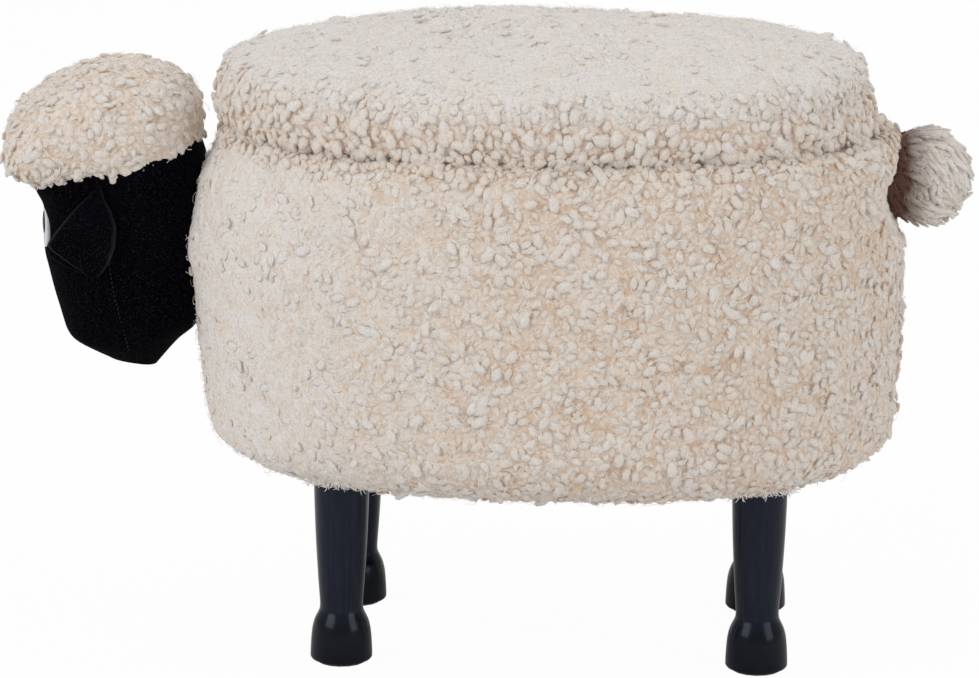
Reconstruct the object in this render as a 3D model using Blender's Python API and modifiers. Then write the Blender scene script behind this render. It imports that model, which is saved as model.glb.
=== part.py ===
# Animal storage footstool: an oval fleece-covered tub on four turned legs, with a
# lift-off padded lid, a stuffed head at the -X end and a pompom tail at the +X end.
# Metres, +Z up. The origin is on the floor, under the middle of the overall length.
# The animal looks towards -X, so its left side is the -Y side.
import math

import bmesh
import bpy
from mathutils import Vector

# Gaps and overruns
FIT_GAP = 0.0003
SOFT_GAP = 0.0006
CUT_OVERRUN = 0.004
MERGE_DISTANCE = 0.00001

# Tub, measured over the fleece
BODY_HALF_LENGTH = 0.244
BODY_HALF_DEPTH = 0.173
BODY_HEIGHT = 0.237
OVAL_STEPS = 36
OVAL_POWER = 2.2
ROLL_INSET = 0.060
ROLL_HEIGHT = 0.158
SHOULDER_INSET = 0.024
FLEECE_THICK = 0.011
UNDERSIDE_DROP = 0.016
HEM_INSET = 0.090
RIM_FOLD_THICK = 0.003

# Boards and cloth of the tub
WALL_INSET = 0.043
WALL_THICK = 0.006
BASE_THICK = 0.015
HOOP_THICK = 0.010
HOOP_HEIGHT = 0.022
FLOOR_PANEL_THICK = 0.0025
LINING_THICK = 0.0015
DUST_CLOTH_THICK = 0.0010
BOARD_CHAMFER = 0.001

# Lid
LID_INSET = 0.019
LID_HEIGHT = 0.075
LID_EDGE_HEIGHT = 0.050
LID_EDGE_INSET = 0.020
LID_SEAM_TUCK = 0.008
LID_FOAM_WRAP = 0.004
LID_FOLD_THICK = 0.003
LID_BOARD_THICK = 0.012
LOCATING_THICK = 0.012
LOCATING_PLAY = 0.002
LID_CLOTH_THICK = 0.001
LID_SCREW_INSET_X = 0.134
LID_SCREW_INSET_Y = 0.128

# Legs, their bolts and nuts
LEG_LENGTH = 0.1384
LEG_INSET = 0.0654
LEG_ANGLE = math.radians(39.56)
LEG_SHIFT = 0.004
LEG_TOP_RADIUS = 0.0188
ANKLE_RADIUS = 0.0146
ANKLE_HEIGHT = 0.036
HOOF_RADIUS = 0.0210
GLIDE_THICK = 0.002
GLIDE_RADIUS = 0.0165
BOLT_RADIUS = 0.004
BOLT_DEPTH = 0.032
NUT_FLANGE_RADIUS = 0.011
NUT_FLANGE_THICK = 0.0015
NUT_BARREL_RADIUS = 0.0055
NUT_BARREL_LENGTH = 0.010
TURN_STEPS = 16
SMALL_STEPS = 10

# Countersunk wood screws
SCREW_RADIUS = 0.0018
SCREW_HEAD_RADIUS = 0.0038
SCREW_HEAD_HEIGHT = 0.0025
WALL_SCREW_LENGTH = 0.022
HOOP_SCREW_LENGTH = 0.014
LID_SCREW_LENGTH = 0.020
HEAD_SINK = 0.0005
BASE_SCREWS = 6
HOOP_SCREWS = 4

# Head
HEAD_REACH = 0.1300
HEAD_BACK = 0.0133
HEAD_TOP_RISE = 0.0170
HEAD_HEIGHT = 0.1910
FACE_LENGTH = 0.1165
FACE_HALF_WIDTH = 0.060
FACE_STEPS = 20
FACE_POWER = 2.5
FELT_THICK = 0.002
CAP_LENGTH = 0.1375
CAP_HALF_WIDTH = 0.070
CAP_HALF_HEIGHT = 0.0390
CAP_DROP = 0.0010
CAP_LEAN = 0.22
CAP_POWER = 2.3
EAR_THICK = 0.0055
EAR_LIFT = 0.004
EYE_HALF_WIDTH = 0.0115
EYE_HALF_HEIGHT = 0.0142
EYE_BULGE = 0.0030
EYE_Y = 0.0270
EYE_RISE = 0.0990
EYE_TURN = math.radians(19)
PUPIL_HALF_WIDTH = 0.0050
PUPIL_HALF_HEIGHT = 0.0070
PUPIL_RISE = 0.0035
PUPIL_BULGE = 0.0016

# Block and bolts that hold the head to the wall
BLOCK_LENGTH = 0.014
BLOCK_WIDTH = 0.070
BLOCK_HEIGHT = 0.080
BLOCK_DROP = 0.077
HEAD_BOLT_RADIUS = 0.003
HEAD_BOLT_RISE = 0.023
HEAD_BOLT_CAP_RADIUS = 0.0075
HEAD_BOLT_CAP_HEIGHT = 0.0035
HEX_NUT_RADIUS = 0.0058
HEX_NUT_HEIGHT = 0.005
BOLT_STICKOUT = 0.003

# Tail
TAIL_REACH = 0.0430
TAIL_RADIUS = 0.0368
TAIL_DROP = 0.0325
TAIL_CORE_RADIUS = 0.015
TAIL_CORE_OUT = 0.006
TAIL_NECK_RADIUS = 0.006

# Places worked out from the sizes above
overall_length = 2 * BODY_HALF_LENGTH + HEAD_REACH + TAIL_REACH
tub_x = (HEAD_REACH - TAIL_REACH) / 2
leg_bottom_z = GLIDE_THICK + FIT_GAP
leg_top_z = leg_bottom_z + LEG_LENGTH
base_z = leg_top_z + FIT_GAP
base_top_z = base_z + BASE_THICK
underside_z = base_z - UNDERSIDE_DROP
rim_z = underside_z + BODY_HEIGHT
belly_z = underside_z + ROLL_HEIGHT
shoulder_height = rim_z - belly_z
board_top_z = rim_z - RIM_FOLD_THICK - FIT_GAP
hoop_z = board_top_z - HOOP_HEIGHT
floor_z = base_top_z + FIT_GAP + NUT_FLANGE_THICK + FIT_GAP
floor_top_z = floor_z + FLOOR_PANEL_THICK
wall_inside = WALL_INSET + WALL_THICK
lining_inside = wall_inside + HOOP_THICK + 2 * FIT_GAP + LINING_THICK
lid_z = rim_z + FIT_GAP
lid_board_z = lid_z + LID_FOLD_THICK + FIT_GAP
lid_board_top_z = lid_board_z + LID_BOARD_THICK
locating_top_z = lid_board_z - FIT_GAP
locating_z = locating_top_z - LOCATING_THICK
cloth_inset = lining_inside + LOCATING_PLAY
locating_inset = cloth_inset + LID_CLOTH_THICK + FIT_GAP
lid_foam_inset = LID_INSET + FLEECE_THICK + FIT_GAP
lid_board_inset = lid_foam_inset + LID_SEAM_TUCK + LID_FOAM_WRAP + FIT_GAP
body_left_x = tub_x - BODY_HALF_LENGTH
head_back_x = body_left_x + HEAD_BACK
head_top_z = rim_z + HEAD_TOP_RISE
chin_z = head_top_z - HEAD_HEIGHT
eye_z = chin_z + EYE_RISE
cap_z = rim_z - CAP_DROP
block_z = rim_z - BLOCK_DROP
tail_z = rim_z - TAIL_DROP
cap_x = (CAP_LENGTH - overall_length) / 2
tail_x = overall_length / 2 - TAIL_RADIUS

# The body's outline from the hem up to its widest line: inset and height
roll_shares = ((1.0, 0.0), (0.70, 0.028), (0.42, 0.083), (0.23, 0.15), (0.095, 0.28),
               (0.015, 0.60), (0.0, 1.0))
# From the widest line up to the rim: inset and height
shoulder_shares = ((0.14, 0.50), (0.32, 0.78), (0.58, 0.94), (1.0, 1.0))
# The lid's outline from its seam up to the edge of the crown: inset and height
lid_edge_shares = ((0.11, 0.10), (0.0, 0.28), (0.03, 0.50), (0.16, 0.72), (0.45, 0.90), (1.0, 1.0))
# Rings from the middle of the crown outwards, as shares of its half sizes
crown_shares = (0.28, 0.55, 0.80)
# The shaft of a leg from its top down to the ankle: height and swell
shaft_shares = ((0.78, 0.93), (0.50, 0.70), (0.22, 0.32))
# The hoof from the ankle down to its sole: height and swell
hoof_shares = ((0.90, 0.14), (0.75, 0.46), (0.55, 0.77), (0.30, 0.97), (0.12, 1.0), (0.0, 0.91))
# The face from the chin up: front and back reach, front and back height, width. A reach
# is a share of the face's length, a height is a share of the head's height.
face_shares = ((0.62, 0.33, 0.035, 0.006, 0.28), (0.825, 0.21, 0.105, 0.095, 0.58),
               (0.885, 0.09, 0.190, 0.165, 0.72), (0.935, 0.0, 0.305, 0.280, 0.84),
               (0.980, 0.0, 0.430, 0.410, 0.93), (0.965, 0.0, 0.510, 0.500, 0.97),
               (0.985, 0.0, 0.600, 0.600, 1.0), (0.975, 0.03, 0.715, 0.730, 1.0),
               (0.92, 0.10, 0.840, 0.850, 0.93), (0.78, 0.26, 0.940, 0.950, 0.70),
               (0.56, 0.42, 1.0, 1.0, 0.34))
# The ear from its root down: front and back reach, height, thickness
ear_shares = ((0.640, 0.560, 0.775, 0.5), (0.700, 0.522, 0.680, 0.9), (0.803, 0.496, 0.593, 1.0),
              (0.895, 0.488, 0.525, 1.0), (0.910, 0.492, 0.488, 1.0), (0.812, 0.508, 0.441, 1.0),
              (0.698, 0.538, 0.402, 0.9), (0.645, 0.590, 0.380, 0.5))

# Colours with roughness and metallic values
finishes = {
    "fleece": ((0.66, 0.57, 0.47), 0.95, 0.0),
    "black_felt": ((0.006, 0.005, 0.008), 0.90, 0.0),
    "leg_lacquer": ((0.012, 0.013, 0.018), 0.30, 0.0),
    "plywood": ((0.55, 0.40, 0.24), 0.60, 0.0),
    "foam": ((0.80, 0.74, 0.52), 0.95, 0.0),
    "stuffing": ((0.85, 0.85, 0.84), 0.95, 0.0),
    "lining_cloth": ((0.10, 0.10, 0.11), 0.90, 0.0),
    "dust_cloth": ((0.015, 0.015, 0.016), 0.90, 0.0),
    "steel": ((0.62, 0.62, 0.64), 0.35, 1.0),
    "glide_felt": ((0.10, 0.09, 0.08), 0.95, 0.0),
    "eye_white": ((0.75, 0.77, 0.80), 0.45, 0.0),
    "pupil_black": ((0.008, 0.008, 0.010), 0.30, 0.0),
}


def empty_scene():
    for item in list(bpy.data.objects):
        bpy.data.objects.remove(item, do_unlink=True)


def make_collection(name):
    group = bpy.data.collections.new(name)
    bpy.context.scene.collection.children.link(group)
    return group


def make_material(name):
    colour, roughness, metallic = finishes[name]
    material = bpy.data.materials.new(name)
    material.use_nodes = True
    shader = material.node_tree.nodes["Principled BSDF"]
    shader.inputs["Base Color"].default_value = (*colour, 1.0)
    shader.inputs["Roughness"].default_value = roughness
    shader.inputs["Metallic"].default_value = metallic
    return material


def add_object(name, mesh, finish=None):
    """Links a mesh as a part with a finish, or as a hidden cutter without one."""
    item = bpy.data.objects.new(name, mesh)
    if finish is None:
        cutters.objects.link(item)
        item.hide_render = True
        item.display_type = 'WIRE'
    else:
        parts.objects.link(item)
        if not mesh.materials:
            mesh.materials.append(make_material(finish))
    return item


def mesh_from(form, name):
    bmesh.ops.recalc_face_normals(form, faces=form.faces)
    mesh = bpy.data.meshes.new(name)
    form.to_mesh(mesh)
    form.free()
    return mesh


def smooth(mesh, degrees=35):
    mesh.shade_smooth()
    mesh.set_sharp_from_angle(angle=math.radians(degrees))


def cut(item, *tools):
    for tool in tools:
        boolean = item.modifiers.new("cut " + tool.name, 'BOOLEAN')
        boolean.operation = 'DIFFERENCE'
        boolean.solver = 'EXACT'
        boolean.object = tool


def power_curve(value, power):
    return math.copysign(abs(value) ** (2 / power), value)


def oval_at(angle, inset, z):
    """A point of the tub's oval, at an angle round it and an inset from its outside."""
    x = (BODY_HALF_LENGTH - inset) * power_curve(math.cos(angle), OVAL_POWER)
    y = (BODY_HALF_DEPTH - inset) * power_curve(math.sin(angle), OVAL_POWER)
    return Vector((tub_x + x, y, z))


def oval_point(step, inset, z):
    return oval_at(2 * math.pi * step / OVAL_STEPS, inset, z)


def loft(rings, closed=False):
    """Joins rings of points with faces. A ring of one point is a pole. An open loft
    gets a face over each end ring that isn't a pole."""
    form = bmesh.new()
    made = [[form.verts.new(point) for point in ring] for ring in rings]
    pairs = list(zip(made, made[1:]))
    if closed:
        pairs.append((made[-1], made[0]))
    for lower, upper in pairs:
        count = max(len(lower), len(upper))
        for i in range(count):
            j = (i + 1) % count
            if len(lower) == 1:
                form.faces.new((lower[0], upper[i], upper[j]))
            elif len(upper) == 1:
                form.faces.new((lower[i], upper[0], lower[j]))
            else:
                form.faces.new((lower[i], lower[j], upper[j], upper[i]))
    if not closed:
        for ring in (made[0], made[-1]):
            if len(ring) > 1:
                form.faces.new(ring)
    bmesh.ops.triangulate(form, faces=form.faces)
    return form


def ovals(profile):
    return [[oval_point(step, inset, z) for step in range(OVAL_STEPS)] for inset, z in profile]


def oval_loft(name, profile, finish=None, closed=False):
    """A body round the tub's oval from (inset, z) points, such as a hoop or a board."""
    mesh = mesh_from(loft(ovals(profile), closed), name)
    smooth(mesh)
    return add_object(name, mesh, finish)


def oval_board(name, inset, low_z, high_z, finish):
    profile = ((inset + BOARD_CHAMFER, low_z), (inset, low_z + BOARD_CHAMFER),
               (inset, high_z - BOARD_CHAMFER), (inset + BOARD_CHAMFER, high_z))
    return oval_loft(name, profile, finish)


def offset_profile(profile, distance):
    """Moves a bottom-to-top outline inwards by a distance along its own normals."""
    moved = []
    last = len(profile) - 1
    for i, (inset, z) in enumerate(profile):
        before = profile[max(i - 1, 0)]
        after = profile[min(i + 1, last)]
        run = Vector((after[0] - before[0], after[1] - before[1])).normalized()
        moved.append((inset + run.y * distance, z - run.x * distance))
    return moved


def body_outline():
    """The tub's outside from the hem to the rim, as (inset, z) points."""
    outline = [(ROLL_INSET * inset, underside_z + ROLL_HEIGHT * rise) for inset, rise in roll_shares]
    outline += [(SHOULDER_INSET * inset, belly_z + shoulder_height * rise)
                for inset, rise in shoulder_shares]
    return outline


def turned_mesh(name, profile, steps):
    """A turned mesh: (radius, z) points that run down its outer side, closed if they end
    where they began."""
    points = list(profile)
    count = len(points)
    edges = [(i, i + 1) for i in range(count - 1)]
    if points[0] == points[-1]:
        points.pop()
        edges[-1] = (count - 2, 0)
    mesh = bpy.data.meshes.new(name)
    mesh.from_pydata([(radius, 0, z) for radius, z in points], edges, [])
    return mesh, steps


def turned(name, shape, finish=None, place=(0, 0, 0), pointing=(0, 0, 1)):
    """Places a turned shape with its own +Z along a direction."""
    mesh, steps = shape
    item = add_object(name, mesh, finish)
    screw = item.modifiers.new("turn", 'SCREW')
    screw.steps = steps
    screw.render_steps = steps
    screw.use_merge_vertices = True
    screw.merge_threshold = MERGE_DISTANCE
    screw.use_smooth_shade = True
    item.location = place
    item.rotation_mode = 'QUATERNION'
    item.rotation_quaternion = Vector((0, 0, 1)).rotation_difference(Vector(pointing))
    return item


def rod_profile(radius, low_z, high_z, chamfer=0):
    if chamfer:
        return ((0, high_z), (radius - chamfer, high_z), (radius, high_z - chamfer),
                (radius, low_z + chamfer), (radius - chamfer, low_z), (0, low_z))
    return ((0, high_z), (radius, high_z), (radius, low_z), (0, low_z))


def screw_profile(length, gap=0):
    """A countersunk screw with its head's top at z = 0; a gap makes its cutter."""
    neck_z = -SCREW_HEAD_HEIGHT - gap
    rim_height = SCREW_HEAD_HEIGHT / 5
    top_z = CUT_OVERRUN if gap else 0
    return ((0, top_z), (SCREW_HEAD_RADIUS + gap, top_z), (SCREW_HEAD_RADIUS + gap, -rim_height),
            (SCREW_RADIUS + gap, neck_z), (SCREW_RADIUS + gap, 4 * SCREW_RADIUS - length),
            (0, -length - gap))


def make_tub():
    """Boards, cloth, foam and fleece of the tub."""
    base = oval_board("base_board", wall_inside + FIT_GAP, base_z, base_top_z, "plywood")
    wall = oval_loft("side_wall", ((WALL_INSET, base_z), (WALL_INSET, board_top_z),
                                   (wall_inside, board_top_z), (wall_inside, base_z)),
                     "plywood", closed=True)
    hoop_inset = wall_inside + FIT_GAP
    hoop = oval_loft("rim_hoop", ((hoop_inset, hoop_z), (hoop_inset, board_top_z),
                                  (hoop_inset + HOOP_THICK, board_top_z),
                                  (hoop_inset + HOOP_THICK, hoop_z)), "plywood", closed=True)
    oval_board("floor_panel", wall_inside + FIT_GAP, floor_z, floor_top_z, "lining_cloth")

    # The lining hangs down the wall, passes under the hoop and folds over its top
    lining_z = floor_top_z + FIT_GAP
    step_z = hoop_z - FIT_GAP
    wrap_z = board_top_z + FIT_GAP
    at_wall = wall_inside + FIT_GAP
    at_hoop = lining_inside - LINING_THICK
    outer_face = ((at_wall, lining_z), (at_wall, step_z), (at_hoop, step_z), (at_hoop, wrap_z),
                  (at_wall, wrap_z))
    inner_face = ((at_wall, wrap_z + LINING_THICK), (lining_inside, wrap_z + LINING_THICK),
                  (lining_inside, step_z - LINING_THICK),
                  (at_wall + LINING_THICK, step_z - LINING_THICK), (at_wall + LINING_THICK, lining_z))
    lining = oval_loft("tub_lining", outer_face + inner_face, "lining_cloth", closed=True)

    outline = body_outline()
    fold_z = rim_z - RIM_FOLD_THICK
    inner = [point for point in offset_profile(outline, FLEECE_THICK)
             if point[1] > base_z and point[1] < fold_z - FLEECE_THICK / 2]
    # The hem band is sewn to the side's lower edge, at the outline's second point
    seam_inset, seam_z = outline[1]
    inside = [(seam_inset, base_z - FIT_GAP)] + inner
    inside.append((SHOULDER_INSET + FLEECE_THICK / 2, fold_z))
    fold = [(wall_inside, rim_z), (wall_inside, fold_z)]
    fleece = oval_loft("body_fleece", outline[1:] + fold + inside[::-1], "fleece", closed=True)
    band_inset = seam_inset + FIT_GAP
    band = oval_loft("hem_band", [(HEM_INSET, base_z - FIT_GAP), (HEM_INSET, underside_z), outline[0],
                                  (band_inset, seam_z), (band_inset, base_z - FIT_GAP)],
                     "fleece", closed=True)
    foam_outline = [(inset + FIT_GAP, z) for inset, z in inner]
    foam = oval_loft("side_foam", [(WALL_INSET - FIT_GAP, base_z)] + foam_outline
                     + [(SHOULDER_INSET + FLEECE_THICK / 2 + FIT_GAP, board_top_z),
                        (WALL_INSET - FIT_GAP, board_top_z)], "foam", closed=True)
    cloth_z = base_z - FIT_GAP - DUST_CLOTH_THICK
    oval_loft("dust_cloth", ((HEM_INSET + FIT_GAP, cloth_z), (HEM_INSET + FIT_GAP, base_z - FIT_GAP)),
              "dust_cloth")
    return base, wall, hoop, lining, fleece, band, foam


def leg_profile():
    """A leg from the bottom of its bolt hole, over its top and down to its sole."""
    hole = BOLT_RADIUS + FIT_GAP
    hole_z = LEG_LENGTH - BOLT_DEPTH - FIT_GAP
    profile = [(0, hole_z), (hole, hole_z), (hole, LEG_LENGTH), (LEG_TOP_RADIUS, LEG_LENGTH)]
    for rise, swell in shaft_shares:
        profile.append((ANKLE_RADIUS + (LEG_TOP_RADIUS - ANKLE_RADIUS) * swell,
                        ANKLE_HEIGHT + (LEG_LENGTH - ANKLE_HEIGHT) * rise))
    profile.append((ANKLE_RADIUS, ANKLE_HEIGHT))
    for rise, swell in hoof_shares:
        profile.append((ANKLE_RADIUS + (HOOF_RADIUS - ANKLE_RADIUS) * swell, ANKLE_HEIGHT * rise))
    profile.append((0, 0))
    return profile


def make_legs(base, fleece, band):
    leg = turned_mesh("leg", leg_profile(), TURN_STEPS)
    glide = turned_mesh("glide", rod_profile(GLIDE_RADIUS, 0, GLIDE_THICK), TURN_STEPS)
    nut_top_z = base_top_z + FIT_GAP + NUT_FLANGE_THICK
    bolt_top_z = nut_top_z - FIT_GAP
    bolt = turned_mesh("leg_bolt", rod_profile(BOLT_RADIUS, leg_top_z - BOLT_DEPTH, bolt_top_z,
                                               BOLT_RADIUS / 6), SMALL_STEPS)
    bore = BOLT_RADIUS + FIT_GAP
    barrel_z = nut_top_z - NUT_FLANGE_THICK - NUT_BARREL_LENGTH
    nut = turned_mesh("tee_nut", ((bore, nut_top_z), (NUT_FLANGE_RADIUS, nut_top_z),
                                  (NUT_FLANGE_RADIUS, nut_top_z - NUT_FLANGE_THICK),
                                  (NUT_BARREL_RADIUS, nut_top_z - NUT_FLANGE_THICK),
                                  (NUT_BARREL_RADIUS, barrel_z), (bore, barrel_z), (bore, nut_top_z)),
                      SMALL_STEPS)
    nut_hole = turned_mesh("nut_hole", rod_profile(NUT_BARREL_RADIUS + FIT_GAP, base_z - CUT_OVERRUN,
                                                   base_top_z + CUT_OVERRUN), SMALL_STEPS)
    leg_hole = turned_mesh("leg_hole", rod_profile(LEG_TOP_RADIUS + FIT_GAP, underside_z - CUT_OVERRUN,
                                                   base_z + CUT_OVERRUN), TURN_STEPS)
    for end, end_angle in (("front", math.pi - LEG_ANGLE), ("rear", LEG_ANGLE)):
        for side, angle in (("left", -end_angle), ("right", end_angle)):
            corner = end + "_" + side
            x, y, floor = oval_at(angle, LEG_INSET, 0)
            x += LEG_SHIFT
            turned(corner + "_leg", leg, "leg_lacquer", (x, y, leg_bottom_z))
            turned(corner + "_glide", glide, "glide_felt", (x, y, 0))
            turned(corner + "_leg_bolt", bolt, "steel", (x, y, 0))
            turned(corner + "_tee_nut", nut, "steel", (x, y, 0))
            cut(base, turned(corner + "_nut_hole", nut_hole, place=(x, y, 0)))
            hole = turned(corner + "_leg_hole", leg_hole, place=(x, y, 0))
            cut(fleece, hole)
            cut(band, hole)


def make_wall_screws(wall, base, hoop):
    """Screws through the wall into the edges of the base board and of the rim hoop."""
    rows = (("base_screw", base, base_z + BASE_THICK / 2, WALL_SCREW_LENGTH, BASE_SCREWS),
            ("hoop_screw", hoop, hoop_z + HOOP_HEIGHT / 2, HOOP_SCREW_LENGTH, HOOP_SCREWS))
    for name, board, z, length, count in rows:
        shape = turned_mesh(name, screw_profile(length), SMALL_STEPS)
        hole = turned_mesh(name + "_hole", screw_profile(length, FIT_GAP), SMALL_STEPS)
        for i in range(count):
            step = OVAL_STEPS * (i + 0.5) // count
            first = oval_point(step, WALL_INSET, z)
            second = oval_point(step + 1, WALL_INSET, z)
            run = (second - first).normalized()
            outward = Vector((run.y, -run.x, 0))
            place = (first + second) / 2 - outward * HEAD_SINK
            label = name + "_" + str(i + 1)
            turned(label, shape, "steel", place, outward)
            cutter = turned(label + "_hole", hole, place=place, pointing=outward)
            cut(wall, cutter)
            cut(board, cutter)


def over_crown(inset, drop):
    """Rings from the top of the crown down to the seam, shrunk by an inset and a drop."""
    low_z = lid_z + drop
    edge_height = LID_EDGE_HEIGHT - inset - drop
    outline = [(LID_INSET + inset + LID_SEAM_TUCK, low_z)]
    outline += [(LID_INSET + inset + LID_EDGE_INSET * tuck, low_z + edge_height * rise)
                for tuck, rise in lid_edge_shares]
    edge_z = outline[-1][1]
    crown = LID_HEIGHT - LID_EDGE_HEIGHT
    centre = Vector((tub_x, 0, edge_z))
    edge = ovals(outline[-1:])[0]
    rings = [[centre + Vector((0, 0, crown))]]
    for share in crown_shares:
        rise = Vector((0, 0, crown * (1 - share ** 2)))
        rings.append([centre + (point - centre) * share + rise for point in edge])
    return rings + ovals(outline[::-1])


def make_lid():
    """Boards, foam, cloth and fleece of the lid."""
    fold_top_z = lid_z + LID_FOLD_THICK
    rings = over_crown(0, 0) + ovals(((lining_inside, lid_z), (lining_inside, fold_top_z)))
    rings += over_crown(FLEECE_THICK, LID_FOLD_THICK)[::-1]
    mesh = mesh_from(loft(rings), "lid_fleece")
    smooth(mesh)
    add_object("lid_fleece", mesh, "fleece")

    pocket_inset = lid_board_inset - FIT_GAP
    rings = over_crown(FLEECE_THICK + FIT_GAP, LID_FOLD_THICK + FIT_GAP)
    rings += ovals(((pocket_inset, lid_board_z), (pocket_inset, lid_board_top_z + FIT_GAP)))
    mesh = mesh_from(loft(rings), "lid_foam")
    smooth(mesh)
    add_object("lid_foam", mesh, "foam")

    board = oval_board("lid_board", lid_board_inset, lid_board_z, lid_board_top_z, "plywood")
    locating = oval_board("locating_board", locating_inset, locating_z, locating_top_z, "plywood")
    inner_inset = cloth_inset + LID_CLOTH_THICK
    inner_z = locating_z - FIT_GAP
    oval_loft("lid_lining", ((cloth_inset, inner_z - LID_CLOTH_THICK), (cloth_inset, locating_top_z),
                             (inner_inset, locating_top_z), (inner_inset, inner_z)), "lining_cloth")
    shape = turned_mesh("lid_screw", screw_profile(LID_SCREW_LENGTH), SMALL_STEPS)
    hole = turned_mesh("lid_screw_hole", screw_profile(LID_SCREW_LENGTH, FIT_GAP), SMALL_STEPS)
    down = Vector((0, 0, -1))
    for i in range(4):
        x = tub_x + (BODY_HALF_LENGTH - LID_SCREW_INSET_X) * (-1 if i < 2 else 1)
        y = (BODY_HALF_DEPTH - LID_SCREW_INSET_Y) * (-1 if i % 2 == 0 else 1)
        label = "lid_screw_" + str(i + 1)
        turned(label, shape, "steel", (x, y, locating_z + HEAD_SINK), down)
        cutter = turned(label + "_hole", hole, place=(x, y, locating_z + HEAD_SINK), pointing=down)
        cut(board, cutter)
        cut(locating, cutter)


def face_rings(inset):
    """Rings up the head from the chin, shrunk by an inset."""
    rings = []
    last = len(face_shares) - 1
    for row, (front, back, front_rise, back_rise, width) in enumerate(face_shares):
        lift = inset if row == 0 else -inset if row == last else 0
        front_point = Vector((head_back_x - FACE_LENGTH * front, 0, head_z(front_rise) + lift))
        back_point = Vector((head_back_x - FACE_LENGTH * back, 0, head_z(back_rise) + lift))
        centre = (front_point + back_point) / 2
        half = back_point - centre
        half -= half.normalized() * inset
        side = Vector((0, FACE_HALF_WIDTH * width - inset, 0))
        ring = []
        for step in range(FACE_STEPS):
            angle = 2 * math.pi * step / FACE_STEPS
            ring.append(centre + half * power_curve(math.cos(angle), FACE_POWER)
                        + side * power_curve(math.sin(angle), FACE_POWER))
        rings.append(ring)
    return rings


def head_z(share):
    return chin_z + HEAD_HEIGHT * share


def face_at(z):
    """Front, back and half width of the head at a height."""
    for below, above in zip(face_shares, face_shares[1:]):
        low_z = head_z(below[2])
        high_z = head_z(above[2])
        if z <= high_z:
            part = (z - low_z) / (high_z - low_z)
            front, back, width = [below[i] + (above[i] - below[i]) * part for i in (0, 1, 4)]
            front_x = head_back_x - FACE_LENGTH * front
            back_x = head_back_x - FACE_LENGTH * back
            return front_x, back_x, FACE_HALF_WIDTH * width
    return None


def face_solid(name, inset, body, finish=None):
    """The head's form, shrunk by an inset and cut by the body."""
    mesh = mesh_from(loft(face_rings(inset)), name)
    smooth(mesh)
    item = add_object(name, mesh, finish)
    if body is not None:
        cut(item, body)
    return item


def body_solid(name, clearance):
    """A cutter of the tub's outside, grown by a clearance."""
    return oval_loft(name, [(inset - clearance, z) for inset, z in body_outline()])


def ball(name, centre, half_sizes, power, lean=0, finish=None, turn=0, rings=12, steps=20):
    """A rounded form with its poles towards -X and +X. A lean lifts the +X side."""
    length, width, height = half_sizes
    made = []
    for k in range(rings + 1):
        along = -length * power_curve(math.cos(math.pi * k / rings), power)
        around = power_curve(math.sin(math.pi * k / rings), power)
        ring = []
        for step in range(steps):
            angle = 2 * math.pi * step / steps
            ring.append(Vector((along, width * around * power_curve(math.cos(angle), power),
                                height * around * power_curve(math.sin(angle), power) + lean * along)))
        made.append(ring)
    made[0] = [Vector((-length, 0, -lean * length))]
    made[-1] = [Vector((length, 0, lean * length))]
    mesh = mesh_from(loft(made), name)
    smooth(mesh, 60)
    item = add_object(name, mesh, finish)
    item.location = centre
    item.rotation_euler = (0, 0, turn)
    return item


def ear_mesh(name, side):
    """A leaf-shaped flap that hangs close along one side of the head."""
    half_steps = 8
    rings = []
    rows = len(ear_shares) - 1
    for row, (front, back, rise, thick) in enumerate(ear_shares):
        z = head_z(rise)
        front_x = head_back_x - FACE_LENGTH * front
        back_x = head_back_x - FACE_LENGTH * back
        half_thick = EAR_THICK / 2 * thick
        out = face_at(z)[2] + FIT_GAP + half_thick + EAR_LIFT * row / rows
        ring = []
        for step in range(2 * half_steps):
            angle = math.pi * step / half_steps
            ring.append(Vector(((front_x + back_x) / 2 + (back_x - front_x) / 2 * math.cos(angle),
                                side * (out + half_thick * math.sin(angle)), z)))
        rings.append(ring)
    mesh = mesh_from(loft(rings), name)
    smooth(mesh, 60)
    return mesh


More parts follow.
